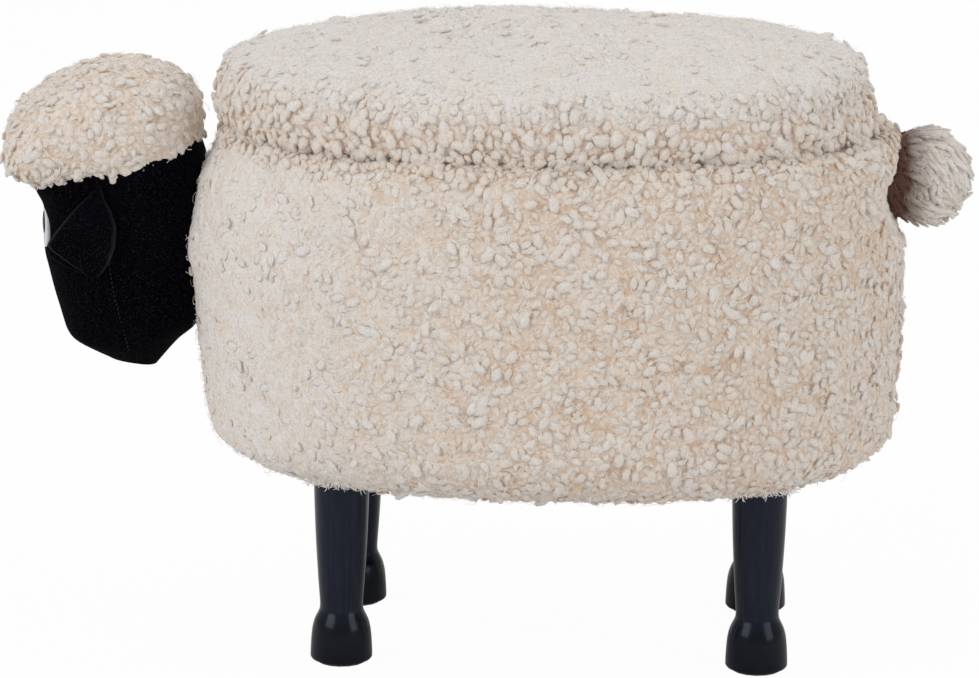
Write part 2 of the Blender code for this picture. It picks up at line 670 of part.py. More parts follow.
def make_head(lining, wall, foam, fleece):
    """Cover, stuffing, block, bolts, cap, ears and eyes of the head."""
    around_head = face_solid("around_head", -SOFT_GAP, None)
    felt = face_solid("face_cover", 0, body_solid("body_clearance", FIT_GAP), "black_felt")
    inside = face_solid("face_inside", FELT_THICK, body_solid("body_felt", FIT_GAP + FELT_THICK))
    cut(felt, inside)
    stuffing = face_solid("head_stuffing", FELT_THICK + SOFT_GAP,
                          body_solid("body_stuffing", FELT_THICK + FIT_GAP + SOFT_GAP), "stuffing")

    block_back_x = body_left_x - FELT_THICK - 2 * FIT_GAP
    block_front_x = block_back_x - BLOCK_LENGTH
    block = box("head_block", (block_front_x, -BLOCK_WIDTH / 2, block_z - BLOCK_HEIGHT / 2),
                (block_back_x, BLOCK_WIDTH / 2, block_z + BLOCK_HEIGHT / 2), "plywood")
    bevel = block.modifiers.new("edges", 'BEVEL')
    bevel.width = BOARD_CHAMFER
    bevel.segments = 1
    pocket = box("block_pocket", (block_front_x - FIT_GAP, -BLOCK_WIDTH / 2 - FIT_GAP,
                                  block_z - BLOCK_HEIGHT / 2 - FIT_GAP),
                 (head_back_x, BLOCK_WIDTH / 2 + FIT_GAP, block_z + BLOCK_HEIGHT / 2 + FIT_GAP))
    cut(stuffing, pocket)

    lining_inset = wall_inside + FIT_GAP + LINING_THICK
    half_turn = OVAL_STEPS // 2
    apex = oval_point(half_turn, lining_inset, block_z)
    beside = oval_point(half_turn + 1, lining_inset, block_z)
    slope = (beside.x - apex.x) / abs(beside.y - apex.y)
    seat_x = apex.x + slope * HEAD_BOLT_CAP_RADIUS + FIT_GAP
    nut_x = block_front_x - FIT_GAP
    tip_x = nut_x - HEX_NUT_HEIGHT - BOLT_STICKOUT
    dome = HEAD_BOLT_CAP_HEIGHT
    bolt = turned_mesh("head_bolt", ((0, dome), (HEAD_BOLT_CAP_RADIUS / 2, dome * 7 / 8),
                                     (HEAD_BOLT_CAP_RADIUS * 7 / 8, dome / 2), (HEAD_BOLT_CAP_RADIUS, 0),
                                     (HEAD_BOLT_RADIUS, 0), (HEAD_BOLT_RADIUS, tip_x - seat_x),
                                     (0, tip_x - seat_x)), SMALL_STEPS)
    bore = HEAD_BOLT_RADIUS + FIT_GAP
    hole = turned_mesh("head_bolt_hole", rod_profile(bore, tip_x - seat_x - FIT_GAP, CUT_OVERRUN),
                       SMALL_STEPS)
    room = turned_mesh("nut_room", rod_profile(HEX_NUT_RADIUS + FIT_GAP, tip_x - FIT_GAP,
                                               block_front_x + BLOCK_LENGTH / 2), SMALL_STEPS)
    hex_bore = bore / math.cos(math.pi / 6)
    nut = turned_mesh("hex_nut", ((hex_bore, HEX_NUT_HEIGHT), (HEX_NUT_RADIUS, HEX_NUT_HEIGHT),
                                  (HEX_NUT_RADIUS, 0), (hex_bore, 0), (hex_bore, HEX_NUT_HEIGHT)), 6)
    forward = Vector((1, 0, 0))
    for label, rise in (("lower", -HEAD_BOLT_RISE), ("upper", HEAD_BOLT_RISE)):
        z = block_z + rise
        turned(label + "_head_bolt", bolt, "steel", (seat_x, 0, z), forward)
        turned(label + "_head_nut", nut, "steel", (nut_x - HEX_NUT_HEIGHT, 0, z), forward)
        cutter = turned(label + "_bolt_hole", hole, place=(seat_x, 0, z), pointing=forward)
        for item in (lining, wall, foam, fleece, felt, block):
            cut(item, cutter)
        cut(stuffing, turned(label + "_nut_room", room, place=(0, 0, z), pointing=forward))

    cap_sizes = (CAP_LENGTH / 2, CAP_HALF_WIDTH, CAP_HALF_HEIGHT)
    cap = ball("head_cap", (cap_x, 0, cap_z), cap_sizes, CAP_POWER, CAP_LEAN, "fleece",
               rings=12, steps=24)
    cut(cap, around_head, bpy.data.objects["body_clearance"])
    around_cap = ball("around_cap", (cap_x, 0, cap_z), [size + FIT_GAP for size in cap_sizes],
                      CAP_POWER, CAP_LEAN, rings=12, steps=24)

    for label, side in (("left", -1), ("right", 1)):
        ear = add_object(label + "_ear", ear_mesh(label + "_ear", side), "black_felt")
        cut(ear, around_head, around_cap)
        make_eye(label, side, around_head)


def make_eye(label, side, around_head):
    """An oval eye on the front of the face, with its pupil over it."""
    front_x, back_x, half_width = face_at(eye_z)
    reach = (1 - (EYE_Y / half_width) ** FACE_POWER) ** (1 / FACE_POWER)
    x = (front_x + back_x) / 2 - (back_x - front_x) / 2 * reach
    turn = -side * EYE_TURN
    place = (x, side * EYE_Y, eye_z)
    sizes = (EYE_BULGE, EYE_HALF_WIDTH, EYE_HALF_HEIGHT)
    eye = ball(label + "_eye", place, sizes, 2, 0, "eye_white", turn, 8, 16)
    cut(eye, around_head)
    around_sizes = [size + FIT_GAP for size in sizes]
    around_eye = ball(label + "_around_eye", place, around_sizes, 2, 0, None, turn, 8, 16)
    pupil_place = (x, side * EYE_Y, eye_z + PUPIL_RISE)
    pupil_sizes = (EYE_BULGE + PUPIL_BULGE, PUPIL_HALF_WIDTH, PUPIL_HALF_HEIGHT)
    pupil = ball(label + "_pupil", pupil_place, pupil_sizes, 2, 0, "pupil_black", turn, 8, 12)
    cut(pupil, around_head, around_eye)


def box(name, low, high, finish=None):
    form = bmesh.new()
    bmesh.ops.create_cube(form, size=1)
    centre = (Vector(low) + Vector(high)) / 2
    size = Vector(high) - Vector(low)
    bmesh.ops.scale(form, vec=size, verts=form.verts)
    bmesh.ops.translate(form, vec=centre, verts=form.verts)
    return add_object(name, mesh_from(form, name), finish)


def make_tail():
    """A fleece pompom gathered round its stuffing and sewn to the tub."""
    radius = TAIL_RADIUS
    pompom = ball("tail_pompom", (tail_x, 0, tail_z), (radius, radius, radius), 2, 0, "fleece",
                  rings=10, steps=20)
    core_x = tail_x + TAIL_CORE_OUT
    core = TAIL_CORE_RADIUS
    ball("tail_stuffing", (core_x, 0, tail_z), (core, core, core), 2, 0, "stuffing", rings=8, steps=12)
    core += FIT_GAP
    hollow = ball("tail_hollow", (core_x, 0, tail_z), (core, core, core), 2,
                  rings=8, steps=12)
    channel = turned_mesh("tail_neck", rod_profile(TAIL_NECK_RADIUS, 0, 2 * TAIL_RADIUS), SMALL_STEPS)
    neck = turned("tail_neck", channel, place=(core_x, 0, tail_z), pointing=(-1, 0, 0))
    cut(pompom, bpy.data.objects["body_clearance"], hollow, neck)


empty_scene()
parts = make_collection("animal_footstool")
cutters = make_collection("cutters")
base, wall, hoop, lining, fleece, band, foam = make_tub()
make_legs(base, fleece, band)
make_wall_screws(wall, base, hoop)
make_lid()
make_head(lining, wall, foam, fleece)
make_tail()
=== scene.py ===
import math

import bpy
import numpy as np
from mathutils import Matrix, Vector, kdtree, noise


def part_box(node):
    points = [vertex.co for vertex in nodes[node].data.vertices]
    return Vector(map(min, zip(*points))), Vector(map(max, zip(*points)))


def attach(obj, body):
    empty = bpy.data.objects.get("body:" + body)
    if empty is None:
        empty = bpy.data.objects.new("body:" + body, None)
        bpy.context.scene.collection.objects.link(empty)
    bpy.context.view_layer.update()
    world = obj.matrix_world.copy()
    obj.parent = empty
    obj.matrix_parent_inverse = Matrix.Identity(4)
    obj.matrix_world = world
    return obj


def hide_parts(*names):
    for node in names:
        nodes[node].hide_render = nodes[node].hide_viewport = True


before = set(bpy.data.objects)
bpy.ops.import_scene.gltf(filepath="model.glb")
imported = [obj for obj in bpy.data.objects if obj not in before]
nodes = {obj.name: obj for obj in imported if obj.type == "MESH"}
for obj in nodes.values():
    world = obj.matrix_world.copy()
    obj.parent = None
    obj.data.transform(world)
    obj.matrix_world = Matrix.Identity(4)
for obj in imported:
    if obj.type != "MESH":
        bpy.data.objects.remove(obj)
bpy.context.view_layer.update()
scene = bpy.context.scene
noise.seed_set(7)   # noise vectors take their offsets from this, and from the clock without it
print("frame: %d nodes" % len(nodes))

camera = {
    "place": (0.1513, -3.3047, 1.0142),
    "target": (0.0024, 0.0, 0.2092),
    "roll": 0.0084,
    "lens": 183.0,
    "sensor": 36.0,
    "farthest": 40.0,
}


def addItem(name, data):
    item = bpy.data.objects.new(name, data)
    scene.collection.objects.link(item)
    return item


def setCamera():
    data = bpy.data.cameras.new("photo_view")
    data.lens = camera["lens"]
    data.sensor_width = camera["sensor"]
    data.clip_end = camera["farthest"]
    place = Vector(camera["place"])
    back = (place - Vector(camera["target"])).normalized()
    level = Vector((0, 0, 1)).cross(back).normalized()
    upright = back.cross(level)
    turnX = math.cos(camera["roll"])
    turnY = math.sin(camera["roll"])
    right = level * turnX + upright * turnY
    up = upright * turnX - level * turnY
    matrix = Matrix((right, up, back)).transposed().to_4x4()
    matrix.translation = place
    scene.camera = addItem("photo_view", data)
    scene.camera.matrix_world = matrix


setCamera()
print("camera: %g mm lens" % camera["lens"])


class Wire:
    # A material's socket that can stand in a Python sum
    def __init__(self, finish, socket):
        self.finish = finish
        self.socket = socket

    def math(self, operation, *values):
        return self.finish.node("Math", {"operation": operation}, dict(enumerate(values)))

    def __add__(self, other):
        return self.math("ADD", self, other)

    def __sub__(self, other):
        return self.math("SUBTRACT", self, other)

    def __rsub__(self, other):
        return self.math("SUBTRACT", other, self)

    def __mul__(self, other):
        return self.math("MULTIPLY", self, other)

    __radd__ = __add__
    __rmul__ = __mul__

    def between(self, low, high):
        # 0 below the low value, 1 above the high one, with a smooth step between them
        return self.finish.node("MapRange", {"interpolation_type": "SMOOTHSTEP"},
                                {"Value": self, "From Min": low, "From Max": high})


class Finish:
    def __init__(self, name, colour, roughness, **fixed):
        self.material = bpy.data.materials.new(name)
        self.material.use_nodes = True
        self.tree = self.material.node_tree
        self.shader = self.tree.nodes["Principled BSDF"]
        self.feed("Base Color", (*colour, 1.0))
        self.feed("Roughness", roughness)
        for key, value in fixed.items():
            self.feed(key.replace("_", " "), value)

    def feed(self, name, value):
        self.plug(self.shader.inputs[name], value)

    def plug(self, socket, value):
        if isinstance(value, Wire):
            self.tree.links.new(value.socket, socket)
        else:
            socket.default_value = value

    def node(self, kind, settings=None, values=None, output=0):
        made = self.tree.nodes.new("ShaderNode" + kind)
        for key, value in (settings or {}).items():
            if key == "stops":
                self.setStops(made.color_ramp, value)
            else:
                setattr(made, key, value)
        for key, value in (values or {}).items():
            self.plug(made.inputs[key], value)
        return Wire(self, made.outputs[output])

    def setStops(self, ramp, stops):
        while len(ramp.elements) < len(stops):
            ramp.elements.new(1.0)
        for element, (place, colour) in zip(ramp.elements, stops):
            element.position = place
            element.color = (*colour, 1.0)

    def attribute(self, name, output=2):
        return self.node("Attribute", {"attribute_name": name}, None, output)

    def place(self):
        return self.node("TexCoord", None, None, 3)

    def stretched(self, factors):
        return self.node("VectorMath", {"operation": "MULTIPLY"}, {0: self.place(), 1: factors})

    def noise(self, scale, detail=2.0, vector=None):
        return self.node("TexNoise", None,
                         {"Vector": vector or self.place(), "Scale": scale, "Detail": detail})

    def mix(self, factor, first, second):
        colours = [value if isinstance(value, Wire) else (*value, 1.0) for value in (first, second)]
        return self.node("Mix", {"data_type": "RGBA"}, {0: factor, 6: colours[0], 7: colours[1]}, 2)

    def bump(self, height, strength, distance):
        values = {"Height": height, "Strength": strength, "Distance": distance}
        self.feed("Normal", self.node("Bump", None, values))


fleeceLook = {
    "tones": ((0.0, (0.76, 0.645, 0.53)), (0.25, (0.80, 0.72, 0.63)), (0.50, (0.815, 0.76, 0.70)),
              (0.78, (0.82, 0.785, 0.745)), (1.0, (0.82, 0.812, 0.81))),
    # The two root colours are painted warm shade, for the low points and crevices of the pile
    "root": (0.66, 0.41, 0.25),
    "paleRootShade": (0.78, 0.62, 0.48),
    "glow": 0.085,
    # The deep colour is painted dark shade, at the seam and at the tail's root
    "deep": (0.115, 0.046, 0.024),
    "rootEnds": 0.66,
    "streak": 0.24,
    "grain": 620.0,
    "grainShare": 0.58,
    "grainColour": (0.62, 0.50, 0.39),
    "bump": 0.85,
    "bumpDepth": 0.0014,
}


def makeLockFinish():
    # Wool lets light through, so its crevices are never black: a faint glow stands for that
    look = fleeceLook
    finish = Finish("curled_fleece", (0.8, 0.7, 0.6), 0.9, Specular_IOR_Level=0.10, Sheen_Weight=0.15,
                    Sheen_Roughness=0.5, Emission_Strength=look["glow"])
    tone = finish.attribute("tone")
    tips = finish.node("ValToRGB", {"stops": look["tones"]}, {"Fac": tone})
    # Painted shade: the low points of the pile take the warm root colours
    roots = finish.mix(tone, look["root"], look["paleRootShade"])
    colour = finish.mix(finish.attribute("along").between(0.0, look["rootEnds"]), roots, tips)
    streaks = finish.noise(5.0, 3.0, finish.attribute("strand", 1))
    # Painted shade in the fine lines along the fibres
    shade = (1 - streaks.between(0.35, 0.70)) * look["streak"]
    grain = finish.noise(look["grain"], 4.0)
    wornAndSheen = finish.mix(grain.between(0.48, 0.72) * look["grainShare"], colour, look["grainColour"])
    streaked = finish.mix(shade, wornAndSheen, look["paleRootShade"])
    # Painted dark shade at the seam and at the tail's root
    colour = finish.mix(finish.attribute("deep"), streaked, look["deep"])
    finish.feed("Base Color", colour)
    finish.feed("Emission Color", colour)
    finish.bump(streaks * 0.4 - grain, look["bump"], look["bumpDepth"])
    return finish.material


def makeFibreFinish():
    # Loose fibres let light through: a faint painted glow makes them a little brighter than what lies under
    # them
    finish = Finish("loose_fibres", (0.88, 0.85, 0.82), 0.8, Specular_IOR_Level=0.15, Sheen_Weight=0.2,
                    Emission_Strength=0.16)
    pale = finish.mix(finish.attribute("tone"), (0.82, 0.74, 0.65), (0.87, 0.84, 0.80))
    # Painted dark shade at the seam and at the tail's root
    colour = finish.mix(finish.attribute("deep"), pale, (0.16, 0.09, 0.06))
    finish.feed("Base Color", colour)
    finish.feed("Emission Color", colour)
    return finish.material


def makeFeltFinish():
    finish = Finish("black_felt", (0.002, 0.0018, 0.003), 0.95, Specular_IOR_Level=0.03,
                    Sheen_Weight=0.006, Sheen_Roughness=0.4)
    lint = finish.noise(1100.0)
    napAndLight = finish.noise(230.0, 4.0)
    wornAndSheen = finish.noise(22.0)
    ground = finish.mix(wornAndSheen.between(0.35, 0.65), (0.0002, 0.0002, 0.0003), (0.0010, 0.0008, 0.0017))
    tuft = finish.mix(napAndLight.between(0.45, 0.60) * 0.6, ground, (0.0016, 0.0013, 0.0028))
    colour = finish.mix(lint.between(0.57, 0.66) * 0.7, tuft, (0.021, 0.018, 0.031))
    # Ears: painted highlights on their cut edges, over a faint painted light on the whole ear
    finish.feed("Base Color", finish.mix(finish.attribute("edge"), colour, (0.034, 0.034, 0.043)))
    finish.bump(lint + napAndLight, 0.6, 0.0007)
    return finish.material


lacquerLook = {
    # The hoof is painted darker for the dark surroundings its flare reflects, and the shaft painted bluish
    # for bluish reflections
    "hoof": (0.0024, 0.0030, 0.0056),
    "shaft": ((0.0066, 0.0084, 0.0172), (0.0120, 0.0146, 0.0270)),
    "hoofTop": (0.028, 0.038),
    "pores": (420.0, 420.0, 40.0),
}


def makeLacquerFinish():
    look = lacquerLook
    # The blue specular tint is a painted bluish reflection
    finish = Finish("satin_black_lacquer", (0.006, 0.007, 0.010), 0.28, Coat_Weight=0.12,
                    Coat_Roughness=0.07, Specular_IOR_Level=0.20, Specular_Tint=(0.66, 0.79, 1.0, 1.0))
    pores = finish.noise(1.0, 3.0, finish.stretched(look["pores"]))
    smears = finish.noise(60.0)
    height = finish.node("SeparateXYZ", None, {"Vector": finish.place()}, 2)
    # Painted reflections: a bluish shaft, and a darker hoof
    shaft = finish.mix(pores.between(0.4, 0.75), *look["shaft"])
    finish.feed("Base Color", finish.mix(height.between(*look["hoofTop"]), look["hoof"], shaft))
    finish.feed("Roughness", 0.17 + smears * 0.14)
    finish.bump(pores, 0.12, 0.0003)
    return finish.material


def makeWoodFinish():
    finish = Finish("birch_plywood", (0.66, 0.50, 0.33), 0.6)
    along = finish.stretched((9.0, 70.0, 70.0))
    grain = finish.noise(3.0, 6.0, along)
    flecks = finish.noise(420.0, 2.0, along)
    tone = finish.mix(grain, (0.52, 0.36, 0.20), (0.74, 0.60, 0.42))
    finish.feed("Base Color", finish.mix(flecks.between(0.55, 0.75) * 0.4, tone, (0.36, 0.23, 0.12)))
    finish.feed("Roughness", 0.5 + grain * 0.25)
    finish.bump(grain + flecks, 0.25, 0.0004)
    return finish.material


def makeClothFinish(name, dark, light, pitch):
    finish = Finish(name, dark, 0.9, Specular_IOR_Level=0.2, Sheen_Weight=0.15)
    threads = [finish.node("TexWave", {"wave_type": "BANDS", "bands_direction": direction},
                           {"Vector": finish.place(), "Scale": pitch, "Distortion": 0.6,
                            "Detail": 1.0, "Detail Scale": 3.0}, 1) for direction in "XYZ"]
    weave = (threads[0] + threads[1] + threads[2]) * 0.33
    colour = finish.mix(weave.between(0.25, 0.75), dark, light)
    finish.feed("Base Color", finish.mix(finish.noise(35.0, 3.0) * 0.35, colour, dark))
    finish.bump(weave, 0.5, 0.0005)
    return finish.material


def makeEyeFinish():
    finish = Finish("eye_enamel", (0.8, 0.8, 0.8), 0.35, Coat_Weight=0.2, Coat_Roughness=0.1)
    cloud = finish.noise(240.0, 3.0)
    iris = finish.mix(cloud, (0.33, 0.40, 0.52), (0.46, 0.52, 0.64))
    finish.feed("Base Color", finish.mix(finish.attribute("edge"), iris, (0.86, 0.88, 0.92)))
    finish.feed("Roughness", 0.30 + cloud * 0.12)
    finish.bump(cloud, 0.1, 0.0003)
    return finish.material


def makeSpeckled(name, plain, speckle, dark, light, varied, bump, **fixed):
    # A finish whose colour follows one fine noise, and its roughness and bump where they are given
    finish = Finish(name, *plain, **fixed)
    speck = finish.noise(*speckle)
    finish.feed("Base Color", finish.mix(speck, dark, light))
    if varied:
        finish.feed("Roughness", varied[0] + speck * varied[1])
    if bump:
        finish.bump(speck, *bump)
    return finish.material


lockFinish = makeLockFinish()
fibreFinish = makeFibreFinish()
feltFinish = makeFeltFinish()
lacquerFinish = makeLacquerFinish()
woodFinish = makeWoodFinish()
liningFinish = makeClothFinish("charcoal_lining", (0.055, 0.055, 0.062), (0.15, 0.15, 0.165), 190.0)
dustFinish = makeClothFinish("black_dust_cloth", (0.010, 0.010, 0.011), (0.030, 0.030, 0.032), 150.0)
eyeFinish = makeEyeFinish()
steelFinish = makeSpeckled("zinc_plated_steel", ((0.62, 0.62, 0.64), 0.35), (700.0, 4.0),
                           (0.52, 0.52, 0.54), (0.70, 0.70, 0.71), (0.28, 0.2), (0.1, 0.0002),
                           Metallic=1.0)
glideFinish = makeSpeckled("grey_felt", ((0.10, 0.09, 0.08), 0.95), (900.0, 3.0), (0.06, 0.055, 0.05),
                           (0.16, 0.15, 0.13), None, (0.6, 0.0006), Sheen_Weight=0.2)
pupilFinish = makeSpeckled("pupil_black", ((0.006, 0.006, 0.009), 0.25), (300.0, 2.0),
                           (0.004, 0.004, 0.006), (0.010, 0.010, 0.015), (0.20, 0.12), None,
                           Coat_Weight=0.04, Coat_Roughness=0.08, Specular_IOR_Level=0.15)
threadFinish = makeSpeckled("black_thread", ((0.02, 0.02, 0.03), 0.8), (1800.0, 2.0),
                            (0.013, 0.013, 0.021), (0.032, 0.032, 0.048), None, (0.4, 0.0003),
                            Specular_IOR_Level=0.05)
print("finishes: %d" % len(bpy.data.materials))


def ramp(values, start, width):
    # 0 before the start to 1 after the width, which is below 0 where the ramp runs the other way
    return np.clip((values - start) / width, 0, 1)


def hump(values, middle, reach):
    return np.clip(1 - np.abs(values - middle) / reach, 0, 1)


def bell(values, middle, reach):
    return np.exp(-((values - middle) / reach) ** 2)


tub = {
    "halfLength": 0.244,
    "halfDepth": 0.173,
    "centreX": 0.0435,
    "power": 2.2,
    "steps": 168,
    "underside": 0.1250,
    "hemInset": 0.090,
    "hemTop": 0.1404,
    "rollInset": 0.060,
    "rollHeight": 0.158,
    "rim": 0.3620,
    "seamGap": 0.0012,
    "shoulderInset": 0.0215,
    "foldInset": 0.036,
    "wallInset": 0.0427,
    "wallInside": 0.049,
    "foldUnder": 0.3590,
    "roll": ((1.0, 0.0), (0.70, 0.028), (0.42, 0.083), (0.23, 0.15), (0.095, 0.28), (0.015, 0.60),
             (0.0, 1.0)),
    "shoulder": ((0.14, 0.50), (0.32, 0.78), (0.58, 0.94), (1.0, 1.0)),
    "ground": 0.0042,
    "lump": (0.0016, 0.035),
    # How far each end moves along X, where that starts and its width, and its form over the height
    "moves": ((-0.0032, 0.17, 0.10, ramp, 0.345, -0.03), (0.0012, -0.08, -0.10, hump, 0.190, 0.050),
              (0.0044, 0.12, 0.10, hump, 0.147, 0.036), (-0.0046, -0.06, -0.08, hump, 0.138, 0.024),
              (-0.0062, -0.08, -0.10, bell, 0.284, 0.034), (0.0058, -0.08, -0.10, ramp, 0.325, 0.02),
              (0.0042, 0.17, 0.10, ramp, 0.325, 0.02)),
    "rimBand": (0.0085, 0.0008),
    "legGap": 0.0008,
    "clearOfHem": 0.006,
    "holeGap": 0.0003,
}

seam = {
    "depth": 0.0035,
    "shade": (0.50, 0.9, 0.80),
    "patchSize": 0.010,
    "atRoots": 0.85,
}

tail = {
    "centre": (0.2937, 0.0, 0.3295),
    "radius": 0.0324,
    "ground": 0.0040,
    "lump": (0.0020, 0.02),
    "rootX": 0.2560,
    # Painted brown shade on the tail's side towards the body, darkest before brownX and gone by creamX
    "brownX": 0.2815,
    "creamX": 0.3045,
    "brownShare": 0.97,
    "brownFall": 1.3,
    "uneven": (0.006, 0.008),
    "heading": (0.62, 0.0, -0.78),
    "dent": 0.0115,
    "dentWidth": 0.090,
    "dentZ": 0.3225,
    "dentHeight": 0.045,
}


def around(steps, power=2.0):
    # The two directions of points round an oval, squarer with a higher power
    angles = np.linspace(0, 2 * math.pi, steps, endpoint=False)
    return [np.sign(values) * np.abs(values) ** (2 / power) for values in (np.cos(angles), np.sin(angles))]


def ovalRing(inset, z, steps=None, shift=0.0):
    # A ring round the tub's oval, at an inset from its outside
    along, across = around(steps or tub["steps"], tub["power"])
    x = tub["centreX"] + shift + (tub["halfLength"] - inset) * along
    return np.stack([x, (tub["halfDepth"] - inset) * across, np.full_like(x, z)], axis=1)


def ovalRings(profile, shift=0.0, steps=None):
    return np.array([ovalRing(inset, z, steps, shift) for inset, z in profile])


def turnedRings(profile, centre, steps):
    along, across = around(steps)
    return [np.stack([centre[0] + radius * along, centre[1] + radius * across, np.full(steps, z)], axis=1)
            for radius, z in profile]


def smoothLine(points, gap):
    # A smooth curve through points, with new points at an even gap along it
    points = np.array(points, float)
    ends = np.vstack([2 * points[0] - points[1], points, 2 * points[-1] - points[-2]])
    fine = []
    for before, start, end, after in zip(ends, ends[1:], ends[2:], ends[3:]):
        for t in np.linspace(0, 1, 12, endpoint=False):
            fine.append(0.5 * (2 * start + (end - before) * t
                               + (2 * before - 5 * start + 4 * end - after) * t ** 2
                               + (3 * start - before - 3 * end + after) * t ** 3))
    fine = np.array(fine + [points[-1]])
    runs = np.concatenate([[0], np.cumsum(np.linalg.norm(np.diff(fine, axis=0), axis=1))])
    count = max(2, round(runs[-1] / gap) + 1)
    places = np.linspace(0, runs[-1], count)
    return np.stack([np.interp(places, runs, fine[:, axis]) for axis in range(fine.shape[1])], axis=1)


def inward(profile, distance):
    # Moves a bottom-to-top outline of insets and heights inwards along its own normals
    run = np.gradient(profile, axis=0)
    run /= np.linalg.norm(run, axis=1)[:, None]
    return profile + np.stack([run[:, 1], -run[:, 0]], axis=1) * distance


def ringNormals(rings):
    run = np.roll(rings, -1, axis=1) - np.roll(rings, 1, axis=1)
    normals = np.cross(run, np.gradient(rings, axis=0))
    lengths = np.linalg.norm(normals, axis=2)[:, :, None]
    return normals / np.maximum(lengths, 1e-12)


def field(points, size, offset=0.0):
    # Smooth noise from about -1 to 1 at each point, with lumps of a size
    shift = Vector((offset, offset * 1.7, offset * 0.6))
    return np.array([noise.noise(Vector(point) / size + shift) for point in points.reshape(-1, 3)])


def lifted(rings, heights):
    return rings + ringNormals(rings) * heights.reshape(rings.shape[:2])[:, :, None]


def lumpy(rings, height, size, offset=0.0):
    return lifted(rings, (field(rings, size, offset) + 0.5 * field(rings, size / 2.3, offset + 4)) * height)


def matted(rings, look, offset, strength=None):
    # Raises rings into matted curls, and gives the height and tone at each of their points
    shift = Vector((offset, offset * 0.7, offset * 1.3))
    points = rings.reshape(-1, 3)
    values = []
    for point in points.tolist():
        place = Vector(point) / look["curlSize"] + shift
        swirl = noise.noise_vector(place * 0.4) * look["swirl"] + noise.noise_vector(place * 1.3) * 0.3
        large, centres = noise.voronoi(place + swirl)
        small, others = noise.voronoi((place + swirl * 1.5) * look["fineScale"])
        values.append((large[1] - large[0], small[1] - small[0], noise.cell(centres[0] * 9.7),
                       noise.noise(place * 0.55), *swirl))
    values = np.array(values)
    felted = np.clip(0.5 + values[:, 3] * 1.5, look["felted"], 1)
    dome = (1 - np.clip(values[:, 0] / 0.80, 0, 1)) ** 1.5
    fine = (1 - np.clip(values[:, 1] / 0.65, 0, 1)) ** 1.7
    height = 1 - felted * (dome * (1 - look["fineShare"]) + fine * look["fineShare"])
    lift = height * look["relief"] * (1 if strength is None else strength(points))
    patches = field(rings, look["patchSize"], offset + 3)
    tone = look["tone"] + look["toneVary"] * patches + look["toneRandom"] * (values[:, 2] - 0.5)
    strand = (points + values[:, 4:] * 0.0035) * look["strands"]
    return lifted(rings, lift), {"along": 0.04 + 0.96 * height, "tone": np.clip(tone, 0.02, 0.98),
                                 "strand": strand}


def setValues(mesh, values, **rest):
    # Stores a piece's values at its points, and the rest's values at the points that follow
    for label, data in values.items():
        kind, key = ("FLOAT_VECTOR", "vector") if data.ndim == 2 else ("FLOAT", "value")
        missing = len(mesh.vertices) - len(data)
        more = np.full((missing,) + data.shape[1:], rest.get(label, 0.0))
        full = np.concatenate([data, more]).astype(np.float32)
        mesh.attributes.new(label, kind, "POINT").data.foreach_set(key, full.ravel())


def addMesh(name, mesh, finish):
    mesh.materials.append(finish)
    return addItem(name, mesh)


def quads(rows, steps, closed=False):
    # The faces between rings of points, each as its four corners
    return [(row * steps + i, row * steps + (i + 1) % steps,
             (row + 1) % rows * steps + (i + 1) % steps, (row + 1) % rows * steps + i)
            for row in range(rows if closed else rows - 1) for i in range(steps)]


def loft(name, rings, finish, closed=False, edge=0.0, sharp=None):
    # Joins rings of points. An open loft is closed by a fan over each end ring.
    rows, steps = len(rings), len(rings[0])
    points = [tuple(point) for ring in rings for point in ring]
    faces = quads(rows, steps, closed)
    if not closed:
        for row, ring in ((0, rings[0]), (rows - 1, rings[-1])):
            points.append(tuple(np.mean(ring, axis=0)))
            for i in range(steps):
                pair = (i, (i + 1) % steps) if row else ((i + 1) % steps, i)
                faces.append((row * steps + pair[0], row * steps + pair[1], len(points) - 1))
    mesh = bpy.data.meshes.new(name)
    mesh.from_pydata(points, [], faces)
    mesh.shade_smooth()
    if sharp:
        mesh.set_sharp_from_angle(angle=math.radians(sharp))
    setValues(mesh, {"edge": np.resize(edge, len(points))})
    return addMesh(name, mesh, finish)


def carve(item, tools):
    # Cuts other forms out of a piece, keeps the result as its mesh and takes the forms away
    for tool in tools:
        boolean = item.modifiers.new(tool.name, "BOOLEAN")
        boolean.operation = "DIFFERENCE"
        boolean.solver = "EXACT"
        boolean.object = tool
    bpy.context.view_layer.update()
    ready = item.evaluated_get(bpy.context.evaluated_depsgraph_get())
    mesh = bpy.data.meshes.new_from_object(ready)
    mesh.shade_smooth()
    mesh.set_sharp_from_angle(angle=math.radians(50))
    item.modifiers.clear()
    item.data = mesh
    for tool in tools:
        bpy.data.objects.remove(tool, do_unlink=True)


